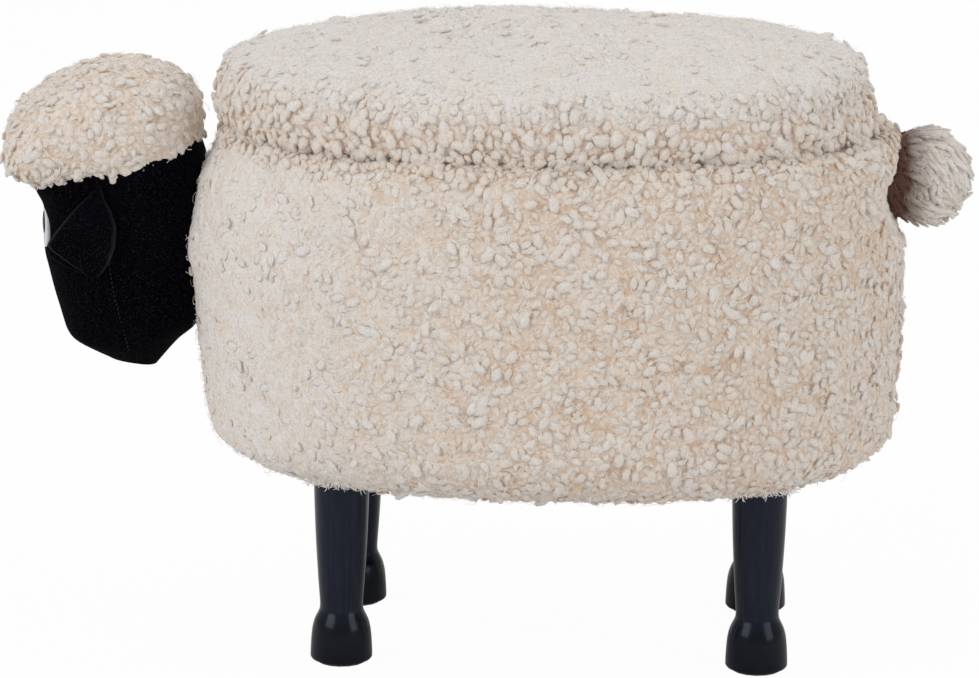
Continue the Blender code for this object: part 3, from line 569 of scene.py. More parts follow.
def scatter(rings, spacing, seed, keep=None):
    # Random points over the rings' surface, none nearer to another than the spacing
    draw = np.random.default_rng(seed)
    a, b = rings[:-1], np.roll(rings[:-1], -1, axis=1)
    c, d = np.roll(rings[1:], -1, axis=1), rings[1:]
    areas = 0.5 * np.linalg.norm(np.cross(c - a, d - b), axis=2).ravel()
    count = int(areas.sum() / spacing ** 2 * 5)
    cells = draw.choice(len(areas), count, p=areas / areas.sum())
    row, step = np.divmod(cells, rings.shape[1])
    u, v = draw.random((2, count, 1))
    after = (step + 1) % rings.shape[1]

    def blend(values):
        low = values[row, step] * (1 - u) + values[row, after] * u
        high = values[row + 1, step] * (1 - u) + values[row + 1, after] * u
        return low * (1 - v) + high * v

    points, normals = blend(rings), blend(ringNormals(rings))
    if keep is not None:
        wanted = keep(points)
        points, normals = points[wanted], normals[wanted]
    taken = {}
    chosen = []
    near = [(i, j, k) for i in (-1, 0, 1) for j in (-1, 0, 1) for k in (-1, 0, 1)]
    limit = spacing ** 2
    keys = np.floor(points / spacing).astype(int).tolist()
    for index, (key, point) in enumerate(zip(keys, points.tolist())):
        others = (other for i, j, k in near
                  for other in taken.get((key[0] + i, key[1] + j, key[2] + k), ()))
        if all((other[0] - point[0]) ** 2 + (other[1] - point[1]) ** 2 + (other[2] - point[2]) ** 2 >= limit
               for other in others):
            taken.setdefault(tuple(key), []).append(point)
            chosen.append(index)
    points, normals = points[chosen], normals[chosen]
    return points, normals / np.linalg.norm(normals, axis=1)[:, None]


def lockShapes(look, seed, count=12):
    # Locks that rise from their root and curl over: x is where they lean, z is up
    draw = np.random.default_rng(seed)
    rings, sides = look["rings"], look["sides"]
    along = np.linspace(0, 1, rings)
    cosines, sines = around(sides)
    step = look["length"] / (rings - 1)
    shapes = []
    for index in range(count):
        curl = math.radians(look["curl"]) * draw.uniform(0.7, 1.25)
        angle = math.radians(look["rise"]) + draw.uniform(0.0, 0.7) - curl * along
        middle = (angle[1:] + angle[:-1]) / 2
        line = np.zeros((rings, 3))
        line[1:, 0] = np.cumsum(np.cos(middle)) * step
        line[1:, 2] = np.cumsum(np.sin(middle)) * step
        line[:, 1] = look["length"] * draw.uniform(-0.22, 0.22) * along ** 1.3
        line[:, 2] -= look["radius"] * 0.6
        thick = look["radius"] * np.interp(along, (0, 0.3, 0.7, 1), look["swell"])
        out = np.stack([np.sin(angle), np.zeros(rings), -np.cos(angle)], axis=1)
        ring = out[:, None, :] * cosines[None, :, None] + np.array([0, 1.0, 0]) * sines[None, :, None]
        uneven = thick[:, None, None] * draw.uniform(0.72, 1.28, (rings, sides, 1))
        tube = line[:, None, :] + ring * uneven
        heading = np.array([math.cos(angle[-1]), 0, math.sin(angle[-1])])
        shapes.append(np.vstack([tube.reshape(-1, 3), line[-1] + heading * thick[-1] * 0.9]))
    return np.array(shapes)


def plantLocks(name, look, points, normals, lean, size, tone, seed, deepAt=None):
    # One mesh of many locks, each turned to its lean and scaled by its size
    draw = np.random.default_rng(seed)
    shapes = lockShapes(look, seed)
    rings, sides = look["rings"], look["sides"]
    count, each = len(points), rings * sides + 1
    side = np.cross(normals, lean)
    side /= np.maximum(np.linalg.norm(side, axis=1), 1e-9)[:, None]
    basis = np.stack([np.cross(side, normals), side, normals], axis=2)
    local = shapes[draw.integers(0, len(shapes), count)] * size[:, None, :]
    local[:, :, 1] *= np.where(draw.random(count) < 0.5, -1.0, 1.0)[:, None]
    places = np.einsum("nij,nvj->nvi", basis, local) + points[:, None, :]

    last = (rings - 1) * sides
    loops = [list(range(sides))[::-1]] + quads(rings, sides)   # the root, then the sides, then the tip
    loops += [(last + i, last + (i + 1) % sides, rings * sides) for i in range(sides)]
    corners = np.concatenate(loops)
    starts = np.cumsum([0] + [len(loop) for loop in loops[:-1]])
    order = np.arange(count)[:, None]
    allCorners = (corners + order * each).ravel()
    allStarts = (starts + order * len(corners)).ravel()
    mesh = bpy.data.meshes.new(name)
    mesh.vertices.add(count * each)
    mesh.vertices.foreach_set("co", places.astype(np.float32).ravel())
    mesh.loops.add(len(allCorners))
    mesh.loops.foreach_set("vertex_index", allCorners.astype(np.int32))
    mesh.polygons.add(len(allStarts))
    mesh.polygons.foreach_set("loop_start", allStarts.astype(np.int32))
    mesh.update(calc_edges=True)
    mesh.validate()
    mesh.shade_smooth()

    heights = local[:, :, 2] / np.maximum(local[:, :, 2].max(axis=1), 1e-6)[:, None]
    heights = np.clip(heights, 0, 1) ** look["fade"]
    along = np.clip(look["lowest"] + (1 - look["lowest"]) * heights, 0, 1).ravel()
    tone = np.repeat(tone, each)
    deep = np.zeros(count * each)
    if deepAt is not None:
        deep = np.clip(deepAt(places.reshape(-1, 3), along), 0, 1)
    turn = np.linspace(0, 2 * math.pi, sides, endpoint=False)
    ringTurn = np.tile(np.append(np.tile(turn, rings), 0.0), count)
    strand = np.stack([np.cos(ringTurn), np.sin(ringTurn), along * 0.5 + tone * 31.0], axis=1)
    setValues(mesh, {"along": along, "tone": tone, "deep": deep, "strand": strand})

    # Points of one tone share a strip of this layout, in one of four levels by how dark their lock is
    layer = mesh.uv_layers.new(name="OFBake")
    level = np.repeat(np.round(deep.reshape(count, each).mean(axis=1) * 3), each)
    fold = np.tile(np.append(np.tile(np.abs(turn / math.pi - 1), rings), 0.5), count)
    across = (level + 0.02 + tone * 0.90 + fold * 0.06) / 4
    uv = np.stack([0.02 + along[allCorners] * 0.96, across[allCorners]], axis=1)
    layer.uv.foreach_set("vector", uv.astype(np.float32).ravel())
    middles = places[:, :-1].reshape(count, rings, sides, 3).mean(axis=2)
    return addMesh(name, mesh, fibreFinish if sides == 3 else lockFinish), middles


def downhill(normals):
    # The direction on each point's surface in which water would run
    down = np.array([0.0, 0.0, -1.0]) - normals * -normals[:, 2:3]
    lengths = np.linalg.norm(down, axis=1)[:, None]
    return np.where(lengths > 0.05, down / np.maximum(lengths, 1e-6), np.array([1.0, 0.0, 0.0]))


def uphill(normals):
    return -downhill(normals)


def growPile(name, look, rings, seed, slices=1, keep=None, lean=downhill, deepAt=None, calmAndLitAt=None):
    # Covers rings with locks, in a few meshes that each hold one slice of the way round
    points, normals = scatter(rings, look["spacing"], seed, keep)
    points = points + normals * look["lift"]
    draw = np.random.default_rng(seed + 1)
    flow = field(points, look["flowSize"], 7.0)
    patches = field(points, look["patchSize"], 13.0) + 0.6 * field(points, look["patchSize"] / 2.6, 2.0)
    swing = math.pi * look["swirl"] * flow * 1.6 + draw.normal(0, look["spread"], len(points))
    base = lean(normals)
    ahead = base * np.cos(swing)[:, None] + np.cross(normals, base) * np.sin(swing)[:, None]
    grown = np.clip(1 + 0.25 * patches + draw.normal(0, look["vary"], len(points)), 0.65, 1.6)
    # Where calm is given, the locks lie flatter and their tone is painted lighter, for the light that falls
    # there
    calm = 0 if calmAndLitAt is None else calmAndLitAt(points)
    flat = look["flat"] * (1 - look["calmFlat"] * calm)
    size = np.stack([grown, grown, grown * flat], axis=1)
    tone = look["tone"] + look["toneVary"] * patches + draw.normal(0, look["toneRandom"], len(points))
    tone = np.clip(tone + look["paintedLightTone"] * calm, 0.02, 0.98)
    turn = (np.arctan2(points[:, 1], points[:, 0] - points[:, 0].mean()) / (2 * math.pi)) % 1
    pile = []
    for part in range(slices):
        mine = (turn * slices).astype(int) == part
        label = name if slices == 1 else "%s_%d" % (name, part + 1)
        pile.append(plantLocks(label, look, points[mine], normals[mine], ahead[mine], size[mine],
                               tone[mine], seed + 10 + part, deepAt))
    print("%s: %d locks" % (name, len(points)))
    return pile


def shadeAroundLocks(values, rings, piles, reach):
    # Paints shade on a skin close around the locks that stand on it, by moving it towards its root colour
    middles = np.concatenate([middle.reshape(-1, 3) for item, middle in piles])
    tree = kdtree.KDTree(len(middles))
    for index, point in enumerate(middles.tolist()):
        tree.insert(point, index)
    tree.balance()
    near = np.array([tree.find(point)[2] for point in rings.reshape(-1, 3).tolist()])
    share = np.clip((near - reach[0]) / (reach[1] - reach[0]), 0, 1)
    values["along"] = values["along"] * (reach[2] + (1 - reach[2]) * share)


def wear(skin, piles):
    for item, middles in piles:
        item.parent = skin


def seamShade(height, side):
    # How dark the fleece gets near the seam: side is 1 for what lies under it, -1 for what lies over it
    def shade(points, along):
        close = np.clip(side * (points[:, 2] - height) / seam["depth"] + 1, 0, 1)
        least, vary, most = seam["shade"]
        patchy = np.clip(least + vary * field(points, seam["patchSize"], 6.0), 0, most)
        return close * patchy * (1 - seam["atRoots"] * along)

    return shade


fluff = {
    "length": 0.0092, "radius": 0.00021, "curl": 230, "rise": 90, "rings": 7, "sides": 3,
    "swell": (1.0, 1.0, 0.8, 0.4), "spacing": 0.0052, "flat": 0.34, "vary": 0.30, "lift": 0.0007,
    "swirl": 0.8, "spread": 1.2, "flowSize": 0.030, "patchSize": 0.020, "tone": 0.70, "toneVary": 0.14,
    "toneRandom": 0.10, "lowest": 0.55, "fade": 1.0, "calmFlat": 0, "paintedLightTone": 0,
}

legFringe = dict(fluff, length=0.0052, radius=0.00026, curl=110, rings=6, spacing=0.0012, flat=1.0,
                 swirl=1.0, spread=1.5, flowSize=0.010, patchSize=0.010, lift=0.0, tone=0.95,
                 toneVary=0.05, toneRandom=0.05, lowest=0.8, near=(0.0005, 0.0045), rows=60)

# Their tone is painted lighter towards the head end, for the light on that end
bodyLocks = dict(fluff, length=0.0078, radius=0.00222, curl=165, rings=6, sides=8, lift=-0.0008,
                 swell=(0.85, 1.1, 1.1, 0.75), spacing=0.0053, flat=0.44, vary=0.27, swirl=0.75,
                 spread=0.95, flowSize=0.040, tone=0.60, toneVary=0.18, toneRandom=0.12, lowest=0.12,
                 fade=1.2, paintedLightTone=0.34, calmFlat=0.60)

# The rim's locks have a lower tone: painted warm shade by the seam
rimLocks = dict(bodyLocks, length=0.0068, radius=0.00240, curl=150, swell=(0.85, 1.1, 1.1, 0.8),
                spacing=0.0047, flat=0.48, vary=0.26, swirl=0.45, spread=0.70, flowSize=0.045,
                lift=0.0002, tone=0.44, toneVary=0.12, toneRandom=0.10)

bodyMat = {
    "curlSize": 0.0086, "relief": 0.0040, "swirl": 1.1, "fineScale": 2.2, "fineShare": 0.40,
    "felted": 0.70, "patchSize": 0.030, "tone": 0.60, "toneVary": 0.16, "toneRandom": 0.18,
    "strands": 170.0, "gap": 0.0014, "steps": 900, "calmX": (0.02, -0.17), "calm": 0.40,
    # The head end's lighter tone and its smaller share of root shade are painted light
    "paintedLightTone": 0.34, "paintedLightLift": 0.74, "shadeReach": (0.0018, 0.0042, 0.45), "thinned": (0.008, 1.15),
}

legs = {
    "names": ("front_left", "front_right", "rear_left", "rear_right"),
    "topRadius": 0.0188,
    "ankleRadius": 0.0146,
    "ankle": 0.036,
    "hoofRadius": 0.0210,
    "soleEdge": 0.0006,
    "steps": 72,
    "gap": 0.0012,
    "shaft": ((1.0, 1.0), (0.78, 0.93), (0.50, 0.70), (0.22, 0.32), (0.06, 0.04)),
    "hoof": ((1.0, 0.0), (0.93, 0.09), (0.86, 0.27), (0.74, 0.58), (0.60, 0.79), (0.44, 0.90),
             (0.28, 0.96), (0.12, 1.0), (0.03, 1.0), (0.0, 0.96)),
    "boltHole": 0.0043,
    "boltDepth": 0.0323,
}

legPlaces = {}


def legProfile(low, height):
    # A leg's outline from its sole up, as radius and height
    ankle, thin = legs["ankle"], legs["ankleRadius"]
    outline = [(thin + (legs["topRadius"] - thin) * swell, ankle + (height - ankle) * rise)
               for rise, swell in legs["shaft"]]
    outline += [(thin + (legs["hoofRadius"] - thin) * swell, ankle * rise) for rise, swell in legs["hoof"]]
    return smoothLine(outline[::-1], legs["gap"]) + np.array([0, low])


def makeLegs():
    for name in legs["names"]:
        low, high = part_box(name + "_leg")
        legPlaces[name] = ((low.x + high.x) / 2, (low.y + high.y) / 2)
        outline = legProfile(low.z, high.z - low.z)
        outline[0, 0] -= legs["soleEdge"]
        topZ, hole = outline[-1][1], legs["boltHole"]
        profile = list(outline) + [(hole, topZ), (hole, topZ - legs["boltDepth"])]
        rings = turnedRings(profile, legPlaces[name], legs["steps"])
        item = loft(name + "_turned_leg", rings, lacquerFinish, sharp=50)
        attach(item, "stool")
        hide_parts(name + "_leg")
    print("legs: %d" % len(legPlaces))


makeLegs()


def bodyProfile():
    under = tub["underside"]
    belly = under + tub["rollHeight"]
    points = [(tub["rollInset"] * inset, under + tub["rollHeight"] * rise) for inset, rise in tub["roll"]]
    points += [(tub["shoulderInset"] * inset, belly + (tub["rim"] - belly) * rise)
               for inset, rise in tub["shoulder"]]
    points = [(tub["hemInset"], under), ((tub["hemInset"] + points[0][0]) / 2, under)] + points
    return smoothLine(points, bodyMat["gap"])


def nearTail(points):
    # 1 behind the tail, falling to 0 around it
    places = points.reshape(-1, 3)
    apart = np.hypot(places[:, 1] / tail["dentWidth"], (places[:, 2] - tail["dentZ"]) / tail["dentHeight"])
    share = np.clip(1 - apart, 0, 1) * (places[:, 0] > tub["centreX"])
    return (share * share * (3 - 2 * share)).reshape(points.shape[:-1])


def shapedEnds(rings):
    # Presses the body in behind the tail, and moves its two ends
    shaped = rings.copy()
    x, z = rings[:, :, 0], rings[:, :, 2]
    shaped[:, :, 0] -= tail["dent"] * nearTail(rings)
    for amount, start, width, form, middle, reach in tub["moves"]:
        shaped[:, :, 0] += amount * ramp(x, start, width) * form(z, middle, reach)
    return shaped


def fromLegs(points):
    # How far points are from the middle of the nearest leg
    return np.min([np.hypot(points[:, 0] - x, points[:, 1] - y) for x, y in legPlaces.values()], axis=0)


def makeBody():
    rim = tub["rim"] - tub["seamGap"]
    steps = bodyMat["steps"]
    ground = inward(bodyProfile(), tub["ground"])
    ground[:, 1] = np.minimum(ground[:, 1], rim)
    nearSeam = seamShade(tub["rim"], 1)

    # The head end, where the pile is calmer and its colour is painted lighter for the light on that end
    def calmAndLitEnd(points):
        return ramp(points[:, 0], *bodyMat["calmX"])

    def clearOfLegs(points):
        clear = (fromLegs(points) > legs["topRadius"] + tub["legGap"]) | (points[:, 2] > tub["hemTop"])
        return clear & (points[:, 2] < rim - 0.0004)

    def onSides(points):
        size, share = bodyMat["thinned"]
        thinned = field(points, size, 3.0) > share * calmAndLitEnd(points) - 1
        clear = (nearTail(points) < 0.25) & (points[:, 2] > tub["underside"] + tub["clearOfHem"])
        return clearOfLegs(points) & clear & thinned

    def onRim(points):
        low, high = tub["rimBand"]
        return (points[:, 2] > rim - low) & (points[:, 2] < rim - high)

    def besideLegs(points):
        beyond = fromLegs(points) - legs["topRadius"]
        near, far = legFringe["near"]
        return (beyond > near) & (beyond < far) & (points[:, 2] < tub["hemTop"])

    def onFluff(points):
        return clearOfLegs(points) & (nearTail(points) < 0.15)

    outer = shapedEnds(lumpy(ovalRings(ground, 0, steps), *tub["lump"]))
    outer, values = matted(outer, bodyMat, 0.0, lambda points: 1 - bodyMat["calm"] * calmAndLitEnd(points))
    outer[:, :, 2] = np.minimum(outer[:, :, 2], rim)
    points = outer.reshape(-1, 3)
    calm = calmAndLitEnd(points)
    values["deep"] = nearSeam(points, 0)
    # Painted light on the head end: a lighter tone, and less root shade
    values["tone"] = np.clip(values["tone"] + bodyMat["paintedLightTone"] * calm, 0, 0.98)
    values["along"] = values["along"] + (1 - values["along"]) * bodyMat["paintedLightLift"] * calm
    wall, fold = tub["wallInset"], tub["foldUnder"]
    inside = ovalRings(((tub["foldInset"], rim), (tub["wallInside"], rim), (tub["wallInside"], fold),
                        (wall, fold), (wall, tub["hemTop"]), (tub["hemInset"], tub["hemTop"])), 0, steps)
    piles = growPile("body_fleece_curls", bodyLocks, outer, 11, 6, onSides, downhill, nearSeam, calmAndLitEnd)
    piles += growPile("body_rim_curls", rimLocks, outer, 17, 1, onRim, uphill, nearSeam)
    shadeAroundLocks(values, outer, piles, bodyMat["shadeReach"])
    piles += growPile("body_fleece_fluff", fluff, outer, 14, 5, onFluff, downhill, nearSeam)
    piles += growPile("leg_fringe_fluff", legFringe, outer[:legFringe["rows"]], 18, 1, besideLegs)
    skin = loft("body_fleece_skin", np.concatenate([outer, inside]), lockFinish, closed=True)
    setValues(skin.data, values, along=0.8, tone=0.5)
    radius = legs["topRadius"] + tub["holeGap"]
    hole = ((radius, tub["underside"] - 0.02), (radius, tub["hemTop"] + 0.02))
    carve(skin, [loft(name + "_hole", turnedRings(hole, centre, 48), lockFinish)
                 for name, centre in legPlaces.items()])
    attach(skin, "stool")
    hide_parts("body_fleece", "hem_band", "side_foam")
    wear(skin, piles)


makeBody()

lid = {
    "shift": -0.0030,
    "inset": 0.019,
    "height": 0.075,
    "edgeHeight": 0.050,
    "edgeInset": 0.020,
    "tuck": 0.0028,
    # Ramps over X and over the height above the seam are given by their start and width
    "tailPull": (0.0078, 0.0002),
    "tailPullX": (0.170, 0.09),
    "tailPullRise": ((0.002, 0.024), (0.028, 0.028)),
    "headPull": (0.0056, 0.0004),
    "headPullX": (-0.08, -0.09),
    "headPullRise": 0.012,
    "endRise": 0.0026,
    "endRiseX": (0.10, 0.10),
    "endRiseFrom": (0.028, 0.02),
    "dip": 0.0018,
    "dipX": (0.095, 0.055),
    "dipFrom": (0.045, 0.012),
    "bottom": 0.3623,
    "foldTop": 0.3653,
    "foldInset": 0.0608,
    "boardInset": 0.0426,
    "boardTop": 0.3779,
    "edge": ((0.11, 0.10), (0.0, 0.28), (0.03, 0.50), (0.16, 0.72), (0.45, 0.90), (1.0, 1.0)),
    "ground": 0.0044,
    "lump": (0.0014, 0.040),
    "hemBand": 0.0065,
    "edgeBand": (0.009, 0.011, 0.009),
    "topBand": (0.004, 0.008),
}

# The crown's lighter tone and its smaller share of root shade are painted light from above
lidMat = dict(bodyMat, tone=0.64, toneVary=0.14, toneRandom=0.16, steps=860, rows=110, topShare=0.42,
              crownPaintedLightTone=0.34, crownPaintedLightLift=0.84, crownCalm=0.28, shadeReach=(0.0020, 0.0044, 0.45))

# Their tone is painted lighter towards the crown, for the light from above
lidSideLocks = dict(bodyLocks, length=0.0088, radius=0.00262, swell=(0.8, 1.1, 1.1, 0.8), spacing=0.0057,
                    flat=0.56, vary=0.24, swirl=0.32, spread=0.70, flowSize=0.045, patchSize=0.018,
                    lift=-0.0005, tone=0.62, toneVary=0.16, paintedLightTone=0.22, calmFlat=0.45)

# The hem's locks have a lower tone: painted warm shade by the seam
hemLocks = dict(lidSideLocks, length=0.0082, radius=0.00255, curl=130, swell=(0.8, 1.1, 1.1, 0.85),
                spacing=0.0047, flat=0.54, vary=0.26, swirl=0.40, spread=0.60, lift=0.0007, tone=0.46,
                toneVary=0.12, toneRandom=0.10)

lidTopLocks = dict(lidSideLocks, length=0.0074, radius=0.00230, curl=95, rise=22, spacing=0.0062,
                   swell=(0.8, 1.15, 1.05, 0.7), flat=0.36, swirl=0.9, spread=0.9, flowSize=0.060,
                   patchSize=0.022, tone=0.93, toneVary=0.07, toneRandom=0.05, lowest=0.62, fade=1.0)


def shapedLid(rings):
    # Pulls the lid in at its two ends, lifts the tail's end a little and dips the top before it
    shaped = rings.copy()
    x, rise = rings[:, :, 0], rings[:, :, 2] - lid["bottom"]
    most, least = lid["tailPull"]
    pull = most * ramp(rise, *lid["tailPullRise"][0]) + (least - most) * ramp(rise, *lid["tailPullRise"][1])
    most, least = lid["headPull"]
    low = np.clip(1 - rise / lid["headPullRise"], 0, 1)
    lean = ramp(x, *lid["headPullX"]) * (most * low + least * (1 - low))
    shaped[:, :, 0] += lean - ramp(x, *lid["tailPullX"]) * pull
    shaped[:, :, 2] += lid["endRise"] * (ramp(x, *lid["endRiseX"]) * ramp(rise, *lid["endRiseFrom"]))
    shaped[:, :, 2] -= lid["dip"] * bell(x, *lid["dipX"]) * ramp(rise, *lid["dipFrom"])
    return shaped


def makeLid():
    low, steps = lid["bottom"], lidMat["steps"]
    edge = [(lid["inset"] + lid["tuck"], low)]
    edge += [(lid["inset"] + lid["edgeInset"] * tuck, low + lid["edgeHeight"] * rise)
             for tuck, rise in lid["edge"]]
    ground = inward(smoothLine(edge, lidMat["gap"]), lid["ground"])
    ground[:, 1] = np.maximum(ground[:, 1], low + 0.0006)
    side = ovalRings(ground, lid["shift"], steps)
    crown = lid["height"] - lid["edgeHeight"]
    centre = np.array([tub["centreX"] + lid["shift"], 0, ground[-1, 1]])
    top = [centre + (side[-1] - centre) * share + np.array([0, 0, crown * (1 - share ** 2)])
           for share in np.linspace(0.99, 0.01, lidMat["rows"])]
    split = lidMat["topShare"] * lid["height"] + low
    shelf = lid["edgeHeight"] + low
    nearSeam = seamShade(low, -1)

    def curliness(points):
        return 1 - lidMat["crownCalm"] * ramp(points[:, 2], split, shelf - split)

    def crownShare(points):
        return np.clip((points[:, 2] - split + 0.010) / (shelf - split), 0, 1)

    def onEdge(points):
        lift, vary, size = lid["edgeBand"]
        return points[:, 2] < split + lift + vary * field(points, size, 1.0)

    def onTop(points):
        lift, hub = lid["topBand"]
        apart = np.hypot(points[:, 0] - centre[0], points[:, 1])
        return (points[:, 2] > split + lift) & (apart > hub)

    def onHem(points):
        return points[:, 2] < low + lid["hemBand"]

    whole = shapedLid(lumpy(np.concatenate([side, top]), *lid["lump"], 3.0))
    whole, values = matted(whole, lidMat, 5.0, curliness)
    whole[:, :, 2] = np.maximum(whole[:, :, 2], low + 0.0004)
    points = whole.reshape(-1, 3)
    onCrown = crownShare(points)
    values["deep"] = nearSeam(points, 0)
    # Painted light on the crown: a lighter tone
    values["tone"] = np.clip(values["tone"] + lidMat["crownPaintedLightTone"] * onCrown, 0, 0.98)
    edge = whole[:len(side) + 1]
    piles = growPile("lid_edge_curls", lidSideLocks, edge, 31, 2, onEdge, downhill, nearSeam, crownShare)
    piles += growPile("lid_hem_curls", hemLocks, edge, 37, 1, onHem, downhill, nearSeam)
    piles += growPile("lid_top_curls", lidTopLocks, whole, 41, 3, onTop)
    shadeAroundLocks(values, whole, piles, lidMat["shadeReach"])
    # Painted light on the crown: less root shade
    values["along"] = values["along"] + (1 - values["along"]) * lidMat["crownPaintedLightLift"] * onCrown
    piles += growPile("lid_fluff", fluff, whole, 44, 4)
    under = ovalRings(((lid["boardInset"], lid["boardTop"]), (lid["boardInset"], lid["foldTop"]),
                       (lid["foldInset"], lid["foldTop"]), (lid["foldInset"], low)), 0, steps)
    skin = loft("lid_fleece_skin", np.concatenate([under, whole]), lockFinish)
    for label, data in values.items():
        plain = np.full((len(under) * steps,) + data.shape[1:], 0.0 if label == "deep" else 0.6)
        values[label] = np.concatenate([plain, data])
    setValues(skin.data, values, along=0.8, tone=0.7)
    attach(skin, "lid")
    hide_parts("lid_fleece", "lid_foam")
    wear(skin, piles)


makeLid()

head = {
    "backX": -0.1872,
    "chin": 0.1880,
    "height": 0.1910,
    "faceLength": 0.1165,
    "halfWidth": 0.060,
    "power": 2.5,
    "steps": 72,
    "lump": (0.0007, 0.03),
    # Each row's front and back, the rise of both, and the width, as shares of the sizes above
    "rows": ((0.62, 0.33, 0.035, 0.006, 0.28), (0.825, 0.21, 0.105, 0.095, 0.58),
             (0.885, 0.09, 0.190, 0.165, 0.72), (0.935, 0.0, 0.305, 0.280, 0.84),
             (0.980, 0.0, 0.430, 0.410, 0.93), (0.965, 0.0, 0.510, 0.500, 0.97),
             (0.985, 0.0, 0.600, 0.600, 1.0), (1.040, 0.02, 0.680, 0.690, 1.0),
             (1.0, 0.08, 0.820, 0.830, 0.95), (0.82, 0.24, 0.940, 0.950, 0.72),
             (0.56, 0.42, 1.0, 1.0, 0.34)),
    "rowScale": (0.12, 0.12, 0.19, 0.19, 0.06),
    "rowGap": 0.005,
    "chinRows": ((0.35, 0.0010), (0.75, 0.0007)),
    "crownRows": (0.75, 0.35),
}


def faceRow(front, back, frontRise, backRise, width):
    ends = [np.array([head["backX"] - head["faceLength"] * run, 0, head["chin"] + head["height"] * rise])
            for run, rise in ((front, frontRise), (back, backRise))]
    centre = (ends[0] + ends[1]) / 2
    along, across = around(head["steps"], head["power"])
    sideways = np.array([0, head["halfWidth"] * width, 0])
    return centre + (ends[1] - centre) * along[:, None] + sideways * across[:, None]


def faceRings():
    scale = np.array(head["rowScale"])
    rings = [faceRow(*row) for row in smoothLine(np.array(head["rows"]) * scale, head["rowGap"]) / scale]
    first, last = rings[0], rings[-1]
    chin, crown = first.mean(axis=0), last.mean(axis=0)
    lower = [chin + (first - chin) * share - np.array([0, 0, drop]) for share, drop in head["chinRows"]]
    upper = [crown + (last - crown) * share for share in head["crownRows"]]
    return np.array(lower + rings + upper)


faceForm = lumpy(faceRings(), *head["lump"], 5.0)


def makeFace():
    skin = loft("face_felt", faceForm, feltFinish)
    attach(skin, "stool")
    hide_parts("face_cover", "head_stuffing")
    return skin


faceSkin = makeFace()

cap = {
    "centre": (-0.2608, 0.0, 0.3560),
    "half": (0.0680, 0.0700, 0.0450),
    "frontDrop": 0.28,
    "backRise": 0.04,
    "frontTuck": 0.20,
    "tuckFrom": 0.012,
    "frontPower": 2.8,
    "backPower": 2.4,
    "roundPower": 2.3,
    "ground": 0.0040,
    "lump": (0.0016, 0.028),
    "steps": 270,
    "rows": 150,
    "fringe": 0.50,
}

capMat = dict(bodyMat, patchSize=0.026, tone=0.68)

capLocks = dict(bodyLocks, length=0.0080, radius=0.00235, swell=(0.9, 1.15, 1.05, 0.75), spacing=0.0060,
                vary=0.25, swirl=0.55, spread=0.8, flowSize=0.035, patchSize=0.018, lift=-0.0009,
                tone=0.74, toneVary=0.16, toneRandom=0.10, lowest=0.26)

fringeLocks = dict(capLocks, length=0.0070, radius=0.00195, curl=140, spacing=0.0048, flat=0.58,
                   vary=0.20, swirl=0.2, spread=0.6, lift=0.0, tone=0.64, toneVary=0.14, lowest=0.12)


def capRings(half):
    # The cap's form: blunt and drooping at the front, rounder and level at the back
    across, upright = around(cap["steps"], cap["roundPower"])
    rings = []
    for t in np.linspace(0.04, math.pi - 0.04, cap["rows"]):
        share = -math.cos(t)
        power = cap["frontPower"] if share < 0 else cap["backPower"]
        spread = (1 - abs(share) ** power) ** (1 / power)
        along = half[0] * share
        middle = cap["backRise"] * along + cap["frontDrop"] * min(along, 0.0)
        tuck = cap["frontTuck"] * max(cap["tuckFrom"] - along, 0.0) * np.clip(-upright, 0, 1)
        ring = np.stack([np.full(cap["steps"], along), half[1] * spread * across,
                         half[2] * spread * upright + middle + tuck], axis=1)
        rings.append(ring + np.array(cap["centre"]))
    return np.array(rings)


def makeCap():
    half = [size - cap["ground"] for size in cap["half"]]
    rings, values = matted(lumpy(capRings(half), *cap["lump"], 9.0), capMat, 11.0)
    low = cap["centre"][2] - cap["fringe"] * half[2]

    def onFringe(points):
        return points[:, 2] < low

    piles = growPile("head_fleece_curls", capLocks, rings, 51)
    piles += growPile("head_fringe_curls", fringeLocks, rings, 57, 1, onFringe)
    shadeAroundLocks(values, rings, piles, capMat["shadeReach"])
    piles += growPile("head_fleece_fluff", fluff, rings, 54)
    skin = loft("head_fleece_skin", rings, lockFinish)
    setValues(skin.data, values, along=0.8, tone=0.6)
    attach(skin, "stool")
    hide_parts("head_cap")
    wear(skin, piles)


makeCap()

ear = {
    "top": 0.3250,
    "tip": 0.2617,
    "front": ((0.3250, -0.2580), (0.3216, -0.2602), (0.3062, -0.2758), (0.2907, -0.2882),
              (0.2850, -0.2918), (0.2804, -0.2926), (0.2760, -0.2896), (0.2700, -0.2812),
              (0.2655, -0.2722), (0.2617, -0.2618)),
    "back": ((0.3250, -0.2568), (0.3166, -0.2546), (0.3077, -0.2496), (0.2975, -0.2464),
             (0.2838, -0.2472), (0.2722, -0.2512), (0.2660, -0.2556), (0.2617, -0.2596)),
    "thick": 0.0016,
    "gap": 0.0004,
    "open": 0.0036,
    "openFall": 1.2,
    "underlap": 0.0070,
    "underlapFall": ((0.64, 0.12), (1, -0.10)),
    "dome": 0.0048,
    # A faint painted light over the whole ear, and painted highlights on its edges that grow towards the
    # bottom
    "napAndLight": 0.02,
    "wornAndSheen": (0.30, 0.70, 1.4),
    "rows": 44,
    "across": 18,
    "offHead": (0.0006, 0.004),
    "backEdge": 0.0008,
}


def faceReach(z):
    # The head's half width at a height
    ringZ = faceForm[:, :, 2].mean(axis=1)
    order = np.argsort(ringZ)
    return float(np.interp(z, ringZ[order], faceForm[:, :, 1].max(axis=1)[order]))


